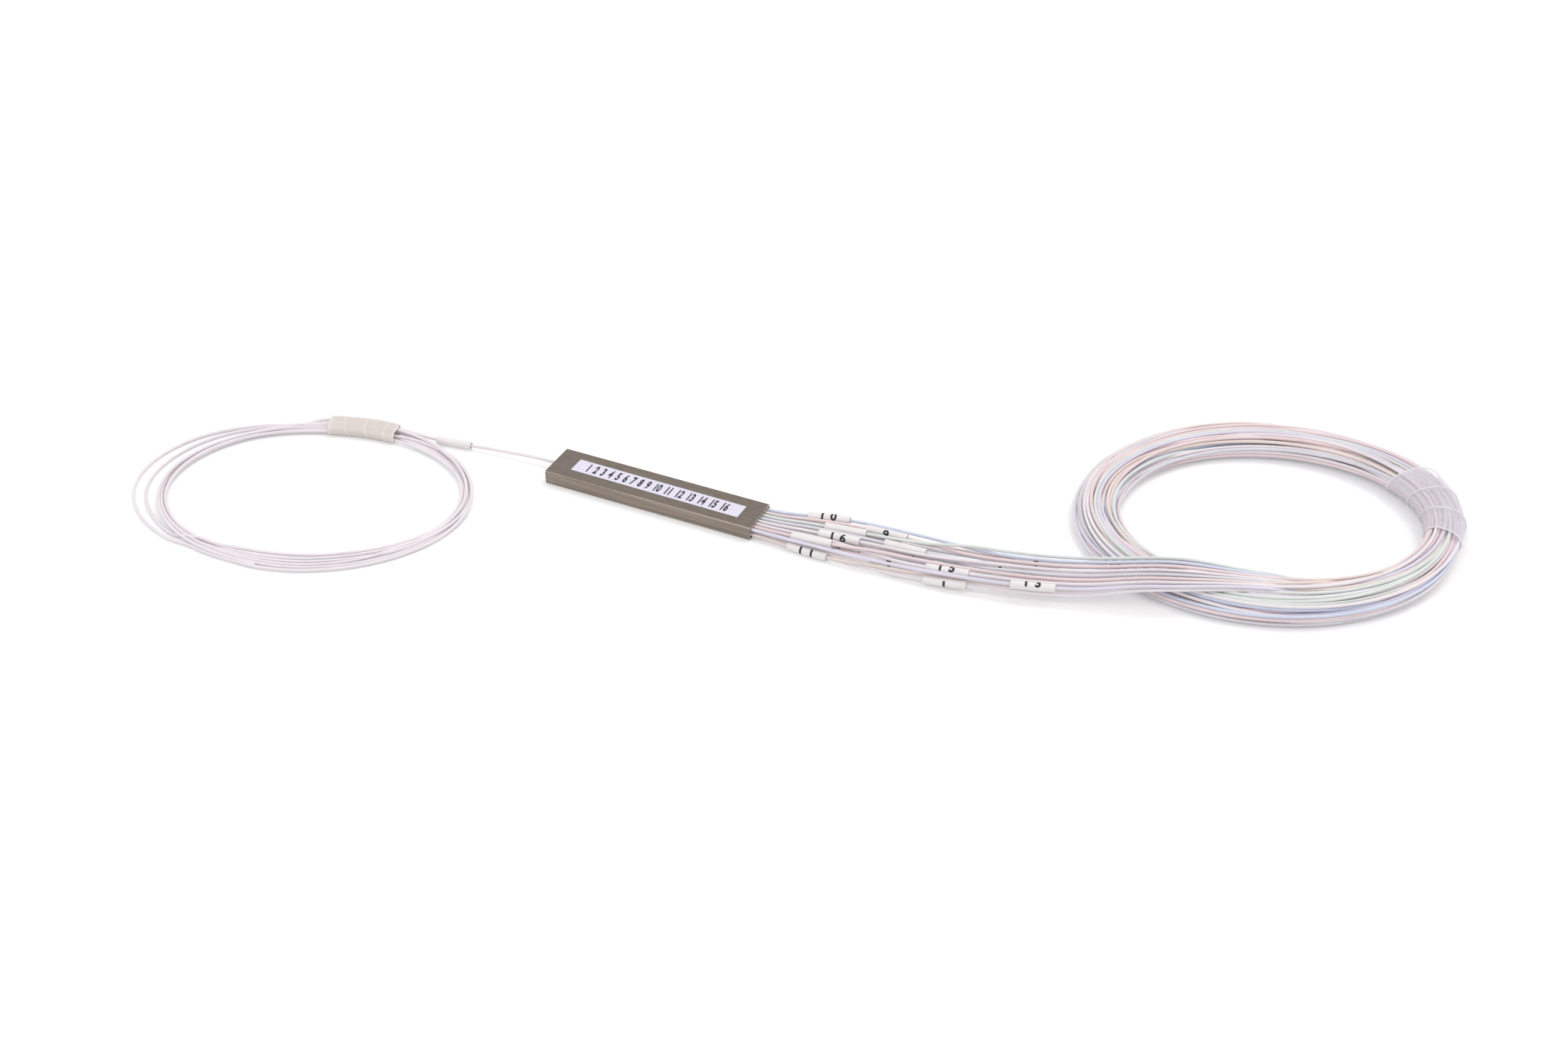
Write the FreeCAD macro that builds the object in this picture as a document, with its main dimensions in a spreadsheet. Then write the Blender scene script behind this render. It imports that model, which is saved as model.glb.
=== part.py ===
import FreeCAD, Part
import math
import os
import Sketcher

from FreeCAD import Placement, Rotation, Vector

# A 1 x 16 fibre splitter module with loose-tube pigtails, in millimetres.
# The housing lies flat. The origin is the centre of its bottom face, +X runs
# along it towards the sixteen outputs, +Y is to the back and +Z is up.

doc = FreeCAD.newDocument("fibre_splitter")
sheet = doc.addObject("Spreadsheet::Sheet", "Sizes")

SIZES = [
    ("housing_length", 60.0, "folded steel tube, along X"),
    ("housing_width", 12.0, "folded steel tube, across"),
    ("housing_height", 4.0, "folded steel tube, up"),
    ("housing_wall", 0.4, "sheet thickness"),
    ("fold_radius", 0.6, "outside radius of the folds"),
    ("inner_gap", 0.05, "clearance of what slides into the housing"),
    ("label_length", 49.2, "label strip"),
    ("label_width", 5.2, "label strip"),
    ("label_thick", 0.1, "label strip"),
    ("label_forward", 0.5, "label centre from the housing's centre, along X"),
    ("label_turn", -0.6, "how far the label is stuck on askew, in degrees"),
    ("seal_recess", 0.8, "mouth edge to the face of the epoxy seal"),
    ("seal_thick", 0.8, "epoxy seal"),
    ("holder_long", 5.4, "tube holder block, along X"),
    ("tube_grip", 2.9, "how deep a loose tube sits in its holder"),
    ("jacket_diameter", 0.9, "loose tube outside"),
    ("bore_gap", 0.05, "clearance round a loose tube in its bore"),
    ("row_inset", 0.825, "outermost tube's centre in from the holder's side"),
    ("row_cover", 0.8, "a row's centres in from the holder's top or bottom"),
    ("input_shift", 1.2, "input tube off the housing's centre line"),
    ("chip_long", 18.0, "waveguide chip"),
    ("chip_wide", 3.0, "waveguide chip"),
    ("chip_thick", 1.0, "waveguide chip"),
    ("cover_long", 4.0, "glass cover block on the chip's end"),
    ("cover_thick", 0.8, "glass cover blocks and fibre lids"),
    ("input_block_long", 8.0, "input fibre block"),
    ("input_block_wide", 2.5, "input fibre block"),
    ("output_block_long", 9.0, "output fibre block"),
    ("output_block_wide", 4.0, "output fibre block"),
    ("lid_long", 4.5, "V-groove lid on a fibre block"),
    ("bed_long", 30.0, "silicone bed under the chip"),
    ("bed_wide", 8.0, "silicone bed under the chip"),
    ("bed_thick", 0.4, "silicone bed under the chip"),
    ("fibre_diameter", 0.25, "coated bare fibre"),
    ("ribbon_pitch", 0.25, "fibres side by side in a ribbon"),
    ("ribbon_thick", 0.3, "ribbon"),
    ("sleeve_length", 11.0, "number sleeve"),
    ("sleeve_outer", 2.1, "number sleeve outside diameter"),
    ("sleeve_bore", 1.3, "number sleeve inside diameter"),
    ("input_sleeve_length", 10.0, "plain sleeve on the input tube"),
    ("output_coil_long", 43.7, "output coil, long half axis at mid-bundle"),
    ("output_coil_short", 36.1, "output coil, short half axis at mid-bundle"),
    ("output_coil_turn", 20.0, "long axis from +X, in degrees"),
    ("input_coil_long", 40.5, "input coil, long half axis at mid-bundle"),
    ("input_coil_short", 31.1, "input coil, short half axis at mid-bundle"),
    ("input_coil_turn", 16.7, "long axis from +X, in degrees"),
    ("wrap_thick", 0.35, "spiral wrap round the output coil"),
    ("wrap_gap", 0.1, "clearance between a wrap and its coil"),
    ("tape_thick", 0.15, "clear tape round the input coil"),
]

for row, (alias, value, note) in enumerate(SIZES, start=1):
    sheet.set(f"A{row}", note)
    sheet.set(f"B{row}", str(value))
    sheet.setAlias(f"B{row}", alias)
doc.recompute()


def size(alias):
    """A driving size, read back from the sheet."""
    return float(getattr(sheet, alias))


PORTS_PER_ROW = 8
PORTS = 2 * PORTS_PER_ROW

parts = {}


def keep(name, piece):
    """Make this object the sub-part that is written as parts/name.step."""
    piece.Label = name
    parts[name] = piece
    return piece


# ---------------------------------------------------------------- box pieces


def block(name, length, width, height, x, y, z):
    """A box whose sizes and lowest corner are expressions of the sheet."""
    box = doc.addObject("Part::Box", name + "_box")
    box.setExpression("Length", length)
    box.setExpression("Width", width)
    box.setExpression("Height", height)
    box.setExpression("Placement.Base.x", x)
    box.setExpression("Placement.Base.y", y)
    box.setExpression("Placement.Base.z", z)
    return keep(name, box)


def origin_plane(body, role):
    for plane in body.Origin.OriginFeatures:
        if plane.Role == role:
            return plane
    raise ValueError(role)


def section_sketch(body, name, x):
    """A sketch across the housing: its x is +Y, its y is +Z, and it stands at x."""
    sketch = body.newObject("Sketcher::SketchObject", name)
    sketch.AttachmentSupport = (origin_plane(body, "YZ_Plane"), [""])
    sketch.MapMode = "FlatFace"
    if x is not None:
        sketch.setExpression("AttachmentOffset.Base.z", x)
    return sketch


def add_rectangle(sketch, prefix, width, bottom, top):
    """A rectangle centred on the sketch's vertical axis, from bottom (or the ground) to top."""
    at = sketch.GeometryCount
    half, low, high = 1.0, 0.1, 1.0
    corners = [
        Vector(-half, low, 0),
        Vector(half, low, 0),
        Vector(half, high, 0),
        Vector(-half, high, 0),
    ]
    for i in range(4):
        sketch.addGeometry(Part.LineSegment(corners[i], corners[(i + 1) % 4]))
    for i in range(4):
        here, following = at + i, at + (i + 1) % 4
        sketch.addConstraint(Sketcher.Constraint("Coincident", here, 2, following, 1))
    sketch.addConstraint(Sketcher.Constraint("Symmetric", at, 1, at, 2, -2))
    for i, kind in enumerate(("Vertical", "Horizontal", "Vertical"), start=1):
        sketch.addConstraint(Sketcher.Constraint(kind, at + i))
    limits = [
        ("width", Sketcher.Constraint("DistanceX", at, 1, at, 2, 2 * half), width),
        ("top", Sketcher.Constraint("DistanceY", -1, 1, at + 2, 1, high), top),
    ]
    if bottom is None:
        sketch.addConstraint(Sketcher.Constraint("PointOnObject", at, 1, -1))
    else:
        low_end = Sketcher.Constraint("DistanceY", -1, 1, at, 1, low)
        limits.append(("bottom", low_end, bottom))
    for what, constraint, expression in limits:
        index = sketch.addConstraint(constraint)
        sketch.renameConstraint(index, prefix + what)
        sketch.setExpression(f"Constraints.{prefix}{what}", expression)


def add_bore(sketch, prefix, y, z, diameter):
    """A round hole at y, z, each an expression; y may be negative."""
    at = sketch.addGeometry(Part.Circle(Vector(0.5, 1.0, 0), Vector(0, 0, 1), 0.3))
    for what, constraint, expression in (
        ("wide", Sketcher.Constraint("Diameter", at, 0.6), diameter),
        ("across", Sketcher.Constraint("DistanceX", -1, 1, at, 3, 0.5), y),
        ("up", Sketcher.Constraint("DistanceY", -1, 1, at, 3, 1.0), z),
    ):
        index = sketch.addConstraint(constraint)
        sketch.renameConstraint(index, prefix + what)
        sketch.setExpression(f"Constraints.{prefix}{what}", expression)


def long_edges(shape):
    """Names of the straight edges that run along X."""
    names = []
    for i, edge in enumerate(shape.Edges, start=1):
        ends = [v.Point for v in edge.Vertexes]
        if len(ends) == 2 and abs(abs(ends[0].x - ends[1].x) - edge.Length) < 1e-6:
            names.append(f"Edge{i}")
    return names


# ------------------------------------------------------------------- housing


def make_housing():
    """The flat steel tube: a padded section with rounded folds, open at both ends."""
    body = doc.addObject("PartDesign::Body", "housing_body")
    outline = section_sketch(body, "housing_outline", None)
    add_rectangle(outline, "out_", "Sizes.housing_width", None, "Sizes.housing_height")
    solid = body.newObject("PartDesign::Pad", "housing_pad")
    solid.Profile = outline
    solid.setExpression("Length", "Sizes.housing_length")
    solid.Midplane = True
    doc.recompute()
    folds = body.newObject("PartDesign::Fillet", "housing_folds")
    folds.Base = (solid, long_edges(solid.Shape))
    folds.setExpression("Radius", "Sizes.fold_radius")
    opening = section_sketch(body, "housing_opening", None)
    add_rectangle(
        opening,
        "in_",
        "Sizes.housing_width - 2 * Sizes.housing_wall",
        "Sizes.housing_wall",
        "Sizes.housing_height - Sizes.housing_wall",
    )
    hollow = body.newObject("PartDesign::Pocket", "housing_hollow")
    hollow.Profile = opening
    hollow.Type = "ThroughAll"
    hollow.Midplane = True
    doc.recompute()
    return keep("housing_shell", body)


def make_label():
    strip = block(
        "label",
        "Sizes.label_length",
        "Sizes.label_width",
        "Sizes.label_thick",
        "Sizes.label_forward - Sizes.label_length / 2",
        "-Sizes.label_width / 2",
        "Sizes.housing_height",
    )
    strip.setExpression("Placement.Rotation.Angle", "Sizes.label_turn")
    strip.Placement.Rotation.Axis = Vector(0, 0, 1)
    return strip


# ------------------------------------------------- holders, seals and bores

INNER_WIDTH = "(Sizes.housing_width - 2 * Sizes.housing_wall - 2 * Sizes.inner_gap)"
INNER_LOW = "(Sizes.housing_wall + Sizes.inner_gap)"
INNER_TOP = "(Sizes.housing_height - Sizes.housing_wall - Sizes.inner_gap)"
LEAD_PITCH = f"(({INNER_WIDTH} - 2 * Sizes.row_inset) / {PORTS_PER_ROW - 1})"
ROW_SPACING = f"({INNER_TOP} - {INNER_LOW} - 2 * Sizes.row_cover)"
BORE = "(Sizes.jacket_diameter + 2 * Sizes.bore_gap)"
SEAL_OUT = "(Sizes.housing_length / 2 - Sizes.seal_recess)"
HOLDER_OUT = f"({SEAL_OUT} - Sizes.seal_thick)"


def output_bores(sketch):
    for port in range(PORTS):
        row, place = divmod(port, PORTS_PER_ROW)
        across = f"{place - (PORTS_PER_ROW - 1) / 2} * {LEAD_PITCH}"
        up = f"Sizes.housing_height / 2 + {row - 0.5} * {ROW_SPACING}"
        add_bore(sketch, f"port{port}_", across, up, BORE)


def input_bore(sketch):
    add_bore(sketch, "port_", "Sizes.input_shift", "Sizes.housing_height / 2", BORE)


def bored_block(name, near_x, thick, bores):
    """A block that fills the housing's section from near_x, with bores for the tubes."""
    body = doc.addObject("PartDesign::Body", name + "_body")
    outline = section_sketch(body, name + "_outline", near_x)
    add_rectangle(outline, "out_", INNER_WIDTH, INNER_LOW, INNER_TOP)
    bores(outline)
    pad = body.newObject("PartDesign::Pad", name + "_pad")
    pad.Profile = outline
    pad.setExpression("Length", thick)
    doc.recompute()
    return keep(name, body)


def make_ends():
    bored_block("output_tube_holder", f"{HOLDER_OUT} - Sizes.holder_long", "Sizes.holder_long", output_bores)
    bored_block("output_seal", HOLDER_OUT, "Sizes.seal_thick", output_bores)
    bored_block("input_tube_holder", f"-{HOLDER_OUT}", "Sizes.holder_long", input_bore)
    bored_block("input_seal", f"-{SEAL_OUT}", "Sizes.seal_thick", input_bore)


# ---------------------------------------------------------- chip and fibres

CHIP_LOW = "(Sizes.housing_wall + Sizes.bed_thick)"
CHIP_TOP = f"({CHIP_LOW} + Sizes.chip_thick)"
CHIP_END = "(Sizes.chip_long / 2)"


def make_chip():
    block(
        "chip_bed",
        "Sizes.bed_long",
        "Sizes.bed_wide",
        "Sizes.bed_thick",
        "-Sizes.bed_long / 2",
        "-Sizes.bed_wide / 2",
        "Sizes.housing_wall",
    )
    block(
        "splitter_chip",
        "Sizes.chip_long",
        "Sizes.chip_wide",
        "Sizes.chip_thick",
        f"-{CHIP_END}",
        "-Sizes.chip_wide / 2",
        CHIP_LOW,
    )
    for name, x in (
        ("chip_input_cover", f"-{CHIP_END}"),
        ("chip_output_cover", f"{CHIP_END} - Sizes.cover_long"),
    ):
        block(
            name,
            "Sizes.cover_long",
            "Sizes.chip_wide",
            "Sizes.cover_thick",
            x,
            "-Sizes.chip_wide / 2",
            CHIP_TOP,
        )


def make_fibre_blocks():
    """The V-groove blocks butt against the chip's ends, each with a lid on top."""
    for side, block_x, lid_x in (
        ("input", f"-{CHIP_END} - Sizes.input_block_long", f"-{CHIP_END} - Sizes.lid_long"),
        ("output", CHIP_END, CHIP_END),
    ):
        wide = f"Sizes.{side}_block_wide"
        block(
            f"{side}_fibre_block",
            f"Sizes.{side}_block_long",
            wide,
            "Sizes.chip_thick",
            block_x,
            f"-{wide} / 2",
            CHIP_LOW,
        )
        block(
            f"{side}_fibre_lid",
            "Sizes.lid_long",
            wide,
            "Sizes.cover_thick",
            lid_x,
            f"-{wide} / 2",
            CHIP_TOP,
        )


def rod(start, end, diameter):
    """A straight round rod between two points."""
    way = end - start
    return Part.makeCylinder(diameter / 2, way.Length, start, way)


def feature(name, shape):
    """A sub-part whose shape is worked out here from the sheet's sizes."""
    piece = doc.addObject("Part::Feature", name + "_shape")
    piece.Shape = shape
    piece.Placement = Placement()
    return keep(name, piece)


chip_top = size("housing_wall") + size("bed_thick") + size("chip_thick")
chip_end = size("chip_long") / 2
mouth_x = size("housing_length") / 2
holder_out = mouth_x - size("seal_recess") - size("seal_thick")
lead_start = holder_out - size("tube_grip")
holder_back = holder_out - size("holder_long") - size("fibre_diameter") / 2
fibre_end = lead_start - size("bore_gap")
mid_z = size("housing_height") / 2
inner_edge = size("housing_wall") + size("inner_gap")
lead_pitch = (size("housing_width") - 2 * inner_edge - 2 * size("row_inset")) / (PORTS_PER_ROW - 1)
row_spacing = size("housing_height") - 2 * inner_edge - 2 * size("row_cover")
jacket = size("jacket_diameter")


def bent_fibre(points):
    """A bare fibre through these points, with a ball at each bend to close it."""
    thick = size("fibre_diameter")
    spans = [rod(a, b, thick) for a, b in zip(points, points[1:])]
    balls = [Part.makeSphere(thick / 2, point) for point in points[1:-1]]
    return spans[0].fuse(spans[1:] + balls)


def make_input_fibre():
    """The bare fibre from the back of the input block into the loose tube's end."""
    up = chip_top + size("fibre_diameter") / 2
    tube_y = size("input_shift")
    route = [
        Vector(-chip_end - size("lid_long"), 0, up),
        Vector(-chip_end - size("input_block_long"), 0, up),
        Vector(-holder_back, tube_y, mid_z),
        Vector(-fibre_end, tube_y, mid_z),
    ]
    return feature("input_bare_fibre", bent_fibre(route).removeSplitter())


def output_port(row, place):
    """Where output tube number place of a row (0 lower, 1 upper) starts, in its holder."""
    across = (place - (PORTS_PER_ROW - 1) / 2) * lead_pitch
    return Vector(lead_start, across, mid_z + (row - 0.5) * row_spacing)


def make_ribbon(name, row):
    """Eight fibres side by side, bonded flat, that fan out to the tubes of one row."""
    thick = size("ribbon_thick")
    wide = PORTS_PER_ROW * size("ribbon_pitch") + 2 * size("bore_gap")
    lid_back = chip_end + size("lid_long")
    flat_end = chip_end + size("output_block_long")
    low = chip_top + row * thick
    strip = Part.makeBox(flat_end - lid_back, wide, thick, Vector(lid_back, -wide / 2, low))
    fan = []
    for place in range(PORTS_PER_ROW):
        port = output_port(row, place)
        across = (place - (PORTS_PER_ROW - 1) / 2) * size("ribbon_pitch")
        root = Vector(flat_end - thick / 2, across, low + thick / 2)
        at_holder = Vector(holder_back, port.y, port.z)
        fan.append(bent_fibre([root, at_holder, Vector(fibre_end, port.y, port.z)]))
    return feature(name, strip.fuse(fan).removeSplitter())


# ------------------------------------------------------------- loose tubes

# How much of the shorter run beside a corner its arc takes up.
ARC_SHARE = 0.45


def tube_route(points):
    """Straight runs joined by the largest tangent arcs that they allow, and their radii."""
    runs = [(b - a).Length for a, b in zip(points, points[1:])]
    edges, radii, here = [], [], points[0]
    for before, corner, after, run_in, run_out in zip(
        points, points[1:], points[2:], runs, runs[1:]
    ):
        towards = (corner - before).normalize()
        away = (after - corner).normalize()
        turn = towards.getAngle(away)
        back = ARC_SHARE * min(run_in, run_out)
        radius = back / math.tan(turn / 2)
        begin, end = corner - towards * back, corner + away * back
        inward = (away - towards).normalize()
        middle = corner + inward * (radius / math.cos(turn / 2) - radius)
        edges.append(Part.LineSegment(here, begin).toShape())
        edges.append(Part.Arc(begin, middle, end).toShape())
        radii.append(radius)
        here = end
    edges.append(Part.LineSegment(here, points[-1]).toShape())
    return Part.Wire(edges), radii


def make_tube(name, points):
    """A loose tube swept along its route, with its section bound to the sheet."""
    wire, radii = tube_route(points)
    spine = doc.addObject("Part::Feature", name + "_route")
    spine.Shape = wire
    ring = doc.addObject("Part::Circle", name + "_section")
    ring.setExpression("Radius", "Sizes.jacket_diameter / 2")
    heading = points[1] - points[0]
    ring.Placement = Placement(points[0], Rotation(Vector(0, 0, 1), heading))
    sweep = doc.addObject("Part::Sweep", name + "_sweep")
    sweep.Sections = [ring]
    sweep.Spine = (spine, [f"Edge{i + 1}" for i in range(len(wire.Edges))])
    sweep.Solid = True
    sweep.Frenet = False
    doc.recompute()
    share = sweep.Shape.Volume / (math.pi * jacket**2 / 4 * wire.Length)
    print(f"{name}: {wire.Length:.1f} mm, least radius {min(radii):.1f} mm, volume share {share:.4f}")
    return keep(name, sweep)


def run_at(route, x):
    """The two ends of the run whose middle is nearest to x."""
    return min(zip(route, route[1:]), key=lambda run: abs((run[0].x + run[1].x) / 2 - x))


def make_sleeve(name, length, start, end):
    """A plain sleeve round the middle of one straight run of a tube."""
    solids = []
    for what, diameter in (("outside", "sleeve_outer"), ("bore", "sleeve_bore")):
        round_bar = doc.addObject("Part::Cylinder", f"{name}_{what}")
        round_bar.setExpression("Radius", f"Sizes.{diameter} / 2")
        round_bar.setExpression("Height", f"Sizes.{length}")
        round_bar.setExpression("Placement.Base.z", f"-Sizes.{length} / 2")
        solids.append(round_bar)
    sleeve = doc.addObject("Part::Cut", name + "_cut")
    sleeve.Base, sleeve.Tool = solids
    sleeve.Placement = Placement((start + end) / 2, Rotation(Vector(0, 0, 1), end - start))
    return keep(name, sleeve)


# Each output tube, from the front of its row to the back: its port number, where
# its sleeve is, how far it goes straight out, the points of its route, the
# length of its last run, and how far across the coil's entry face it ends. What
# lies along X is measured from the mouth.

UPPER_ENTRY_Z, LOWER_ENTRY_Z = 4.7, 2.8

UPPER_TUBES = [
    ("13", 73.7, 4.5, [(20, -5.2, 3.5), (39, -4.4, 3.7)], 21, -6.5),
    ("07", 16, 2.5, [(10, -3.3, 3.1), (22, -2.9, 3.6), (33, -1.5, 4.4), (44, -0.2, 4.1)], 20, -2.8),
    ("15", 51.3, 4.5, [(18, -1.2, 3.4), (30, -1.4, 3.2), (41, -2.3, 3.4)], 21, -4.6),
    ("16", 22, 3.5, [(13, 0.2, 3.4), (31, 1.4, 3.7), (46, 2.3, 4.1), (57, 4.2, 4.8)], 17, 0.9),
    ("14", 40, 4.0, [(15, 2.2, 3.4), (31, 3.3, 3.6), (47, 4.2, 3.6), (58, 4.2, 3.3)], 16, -1.0),
    ("12", 22, 3.5, [(13, 3.6, 3.3), (31, 5.4, 3.6), (44, 6.6, 4.4), (55, 9.6, 5.4)], 17, 6.4),
    ("09", 32, 3.0, [(12, 5.2, 3.2), (23, 7.1, 3.5), (41, 8.2, 3.4), (52, 7.7, 3.4)], 19, 2.8),
    ("10", 16, 2.5, [(10, 6.4, 3.1), (22, 9.0, 3.6), (42, 10.2, 3.7), (54, 10.6, 3.5)], 17, 4.6),
]
LOWER_TUBES = [
    ("11", 16, 2.5, [(10, -5.2, 1.25), (22, -5.7, 1.3), (34, -4.4, 2.05), (44, -2.8, 1.7)], 20, -4.7),
    ("01", 51.6, 4.5, [(19, -3.6, 1.1), (29, -4.3, 0.85), (41, -4.8, 1.15)], 21, -6.7),
    ("02", 37, 3.5, [(13, -1.7, 1.2), (27, -1.3, 1.25), (46, -0.1, 1.3), (57, 2.0, 0.9)], 17, -0.9),
    ("03", 22, 3.5, [(13, 0.1, 1.2), (31, 1.0, 1.25), (46, 2.2, 1.8), (57, 2.0, 2.1)], 17, -2.9),
    ("04", 62.1, 4.0, [(16, 1.9, 1.2), (32, 3.0, 1.3), (43, 4.4, 2.15), (53, 6.0, 2.35)], 10, 1.9),
    ("05", 40, 4.0, [(15, 3.8, 1.2), (31, 5.1, 1.25), (49, 6.2, 1.15), (58, 5.5, 0.9)], 15, 0.7),
    ("06", 70.6, 4.5, [(20, 6.2, 1.2), (39, 7.8, 1.4)], 21, 4.9),
    ("08", 30, 4.5, [(20, 8.2, 1.2), (40, 9.7, 1.3)], 21, 6.8),
]

# The face where the tubes enter the output coil, from the mouth, and its heading.
ENTRY = (82.0, 10.3)
ENTRY_HEADING = math.radians(16)
forward = Vector(math.cos(ENTRY_HEADING), math.sin(ENTRY_HEADING), 0)
sideways = Vector(-forward.y, forward.x, 0)
entry = Vector(mouth_x + ENTRY[0], ENTRY[1], 0)


def make_output_tubes():
    for row, tubes, entry_z in ((1, UPPER_TUBES, UPPER_ENTRY_Z), (0, LOWER_TUBES, LOWER_ENTRY_Z)):
        for place, (port, sleeve_x, straight, middle, last_run, across) in enumerate(tubes):
            start = output_port(row, place)
            end = entry + sideways * across + Vector(0, 0, entry_z)
            route = [start, Vector(mouth_x + straight, start.y, start.z)]
            route += [Vector(mouth_x + x, y, z) for x, y, z in middle]
            route += [end - forward * last_run, end]
            make_tube(f"output_lead_{port}", route)
            make_sleeve(f"number_sleeve_{port}", "sleeve_length", *run_at(route, mouth_x + sleeve_x))


# The input tube: how far it goes straight out, and its points from the input end.
INPUT_STRAIGHT = 4.0
INPUT_TUBE = [(-13.5, 0.6, 1.7), (-25.5, -0.7, 1.3), (-37, -2.5, 1.3)]
INPUT_SLEEVE_X = -31.3


def make_input_tube():
    start = Vector(-lead_start, size("input_shift"), mid_z)
    route = [start, Vector(-mouth_x - INPUT_STRAIGHT, start.y, start.z)]
    route += [Vector(-mouth_x + x, y, z) for x, y, z in INPUT_TUBE]
    make_tube("input_lead", route)
    make_sleeve("input_sleeve", "input_sleeve_length", *run_at(route, INPUT_SLEEVE_X - mouth_x))
    return route


# ------------------------------------------------------------------- coils


class Ring:
    """The middle line of a coil's bundle: an ellipse lying flat."""

    def __init__(self, centre, long_half, short_half, turn):
        self.centre = centre
        self.long_half = long_half
        self.short_half = short_half
        self.turn = math.radians(turn)

    def at(self, degrees):
        """The point and the outward direction at this angle."""
        angle = math.radians(degrees) - self.turn
        u, v = self.long_half * math.cos(angle), self.short_half * math.sin(angle)
        nu, nv = self.short_half * math.cos(angle), self.long_half * math.sin(angle)
        spin = Rotation(Vector(0, 0, 1), math.degrees(self.turn))
        return self.centre + spin.multVec(Vector(u, v, 0)), spin.multVec(Vector(nu, nv, 0)).normalize()

    def section(self, degrees, aside, width, height, low, grow=0.0):
        """The bundle's section at this angle, an upright ellipse that stands at low."""
        point, outward = self.at(degrees)
        middle = point + outward * aside + Vector(0, 0, low + height / 2)
        return oval(middle, outward, width / 2 + grow, height / 2 + grow)

    def wrap(self, sections, ends, wall):
        """A thin hollow wrap round the tied bundle, between these two angles."""
        gap = size("wrap_gap")
        tied = [section for section in sections if ends[0] <= section[0] <= ends[1]]
        outside, inside = (
            Part.makeLoft([self.section(*section, grow) for section in tied], True)
            for grow in (gap + wall, gap)
        )
        return outside.cut(inside)


def oval(middle, across, half_width, half_height):
    """A closed upright ellipse round middle."""
    side = middle + across * half_width
    top = middle + Vector(0, 0, half_height)
    return Part.Wire([Part.Ellipse(side, top, middle).toShape()])


# The output coil's bundle: its angle, how far outward its middle lies, its width,
# its height and its clearance below. The turns are tied tight under the wrap and
# fan out flat where nothing holds them.
OUTPUT_SECTIONS = [
    (-6, 0.5, 9.4, 8.0, 0.4),
    (7, 0.8, 9.2, 8.2, 0.45),
    (18, 0.8, 9.4, 8.2, 0.5),
    (29, 0.9, 10.2, 8.2, 0.5),
    (40, 1.1, 11.5, 8.0, 0.5),
    (51, 1.3, 13.0, 7.8, 0.5),
    (64, 1.3, 13.8, 7.6, 0.4),
    (82, 0.5, 14.7, 7.0, 0.2),
    (105, -1.0, 15.8, 6.4, 0.05),
    (130, -1.5, 16.5, 6.0, 0.05),
    (155, -2.3, 14.0, 6.0, 0.05),
    (180, -1.4, 12.4, 6.4, 0.05),
    (205, -0.6, 15.5, 6.2, 0.05),
    (230, 0.5, 19.0, 6.0, 0.05),
    (255, 1.5, 19.1, 6.6, 0.05),
    (280, 1.0, 18.0, 7.4, 0.05),
    (305, 1.0, 17.6, 7.6, 0.05),
    (325, 0.4, 14.6, 7.8, 0.05),
    (341, 0.6, 11.5, 8.0, 0.2),
]
WRAP_ENDS = (7, 51)

# The sixteen tubes on their way over the coil's edge and into it: how far
# forward of the entry face, how far across it, width, height and lowest point.
ENTRY_BUNDLE = [
    (0, 0.0, 16.5, 3.8, 1.85),
    (11, 0.3, 16.0, 3.8, 3.0),
    (23, 0.7, 14.0, 3.8, 3.6),
    (34, 1.3, 10.5, 3.6, 3.4),
    (46, 2.5, 7.0, 3.0, 3.0),
]

OUTPUT_CENTRE = (117.1, 56.3)


def output_ring():
    return Ring(
        Vector(mouth_x + OUTPUT_CENTRE[0], OUTPUT_CENTRE[1], 0),
        size("output_coil_long"),
        size("output_coil_short"),
        size("output_coil_turn"),
    )


def make_output_coil():
    ring = output_ring()
    turns = Part.makeLoft([ring.section(*section) for section in OUTPUT_SECTIONS], True, False, True)
    arrival = []
    for ahead, across, width, height, low in ENTRY_BUNDLE:
        middle = entry + forward * ahead + sideways * across + Vector(0, 0, low + height / 2)
        arrival.append(oval(middle, sideways, width / 2, height / 2))
    tail = Part.makeLoft(arrival, True, False, False)
    return feature("output_coil", turns.fuse(tail))


def make_output_wrap():
    """The clear wrap round the tied side of the output coil."""
    ring = output_ring()
    wrap = ring.wrap(OUTPUT_SECTIONS, WRAP_ENDS, size("wrap_thick"))
    return feature("output_coil_wrap", wrap)


INPUT_CENTRE = (-52.1, -36.3)
INPUT_ARRIVAL = 10.0
TAPE_ENDS = (88, 115)
INPUT_SECTIONS = [
    (0, 0.2, 4.4, 1.8, 0.1),
    (20, 0.0, 3.8, 1.9, 0.1),
    (40, -0.3, 3.6, 2.0, 0.1),
    (53, -0.7, 4.0, 2.2, 0.15),
    (66, -0.8, 4.9, 2.3, 0.2),
    (78, -0.6, 6.3, 2.4, 0.3),
    (88, -0.5, 6.8, 2.4, 0.3),
    (97, -0.5, 6.8, 2.4, 0.3),
    (106, -0.5, 6.8, 2.4, 0.3),
    (115, -0.5, 6.8, 2.4, 0.3),
    (125, -0.4, 6.2, 2.4, 0.3),
    (137, 0.0, 4.8, 2.3, 0.2),
    (151, -0.2, 3.5, 2.2, 0.1),
    (168, -0.6, 2.8, 2.4, 0.1),
    (190, -0.3, 2.8, 2.5, 0.1),
    (210, 0.2, 2.9, 2.5, 0.1),
    (228, 0.4, 3.6, 2.2, 0.1),
    (246, 0.2, 5.6, 1.8, 0.1),
    (266, -0.1, 7.8, 1.5, 0.1),
    (288, -0.4, 9.2, 1.4, 0.1),
    (312, -0.8, 9.2, 1.4, 0.1),
    (336, -0.5, 7.0, 1.5, 0.1),
]

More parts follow.
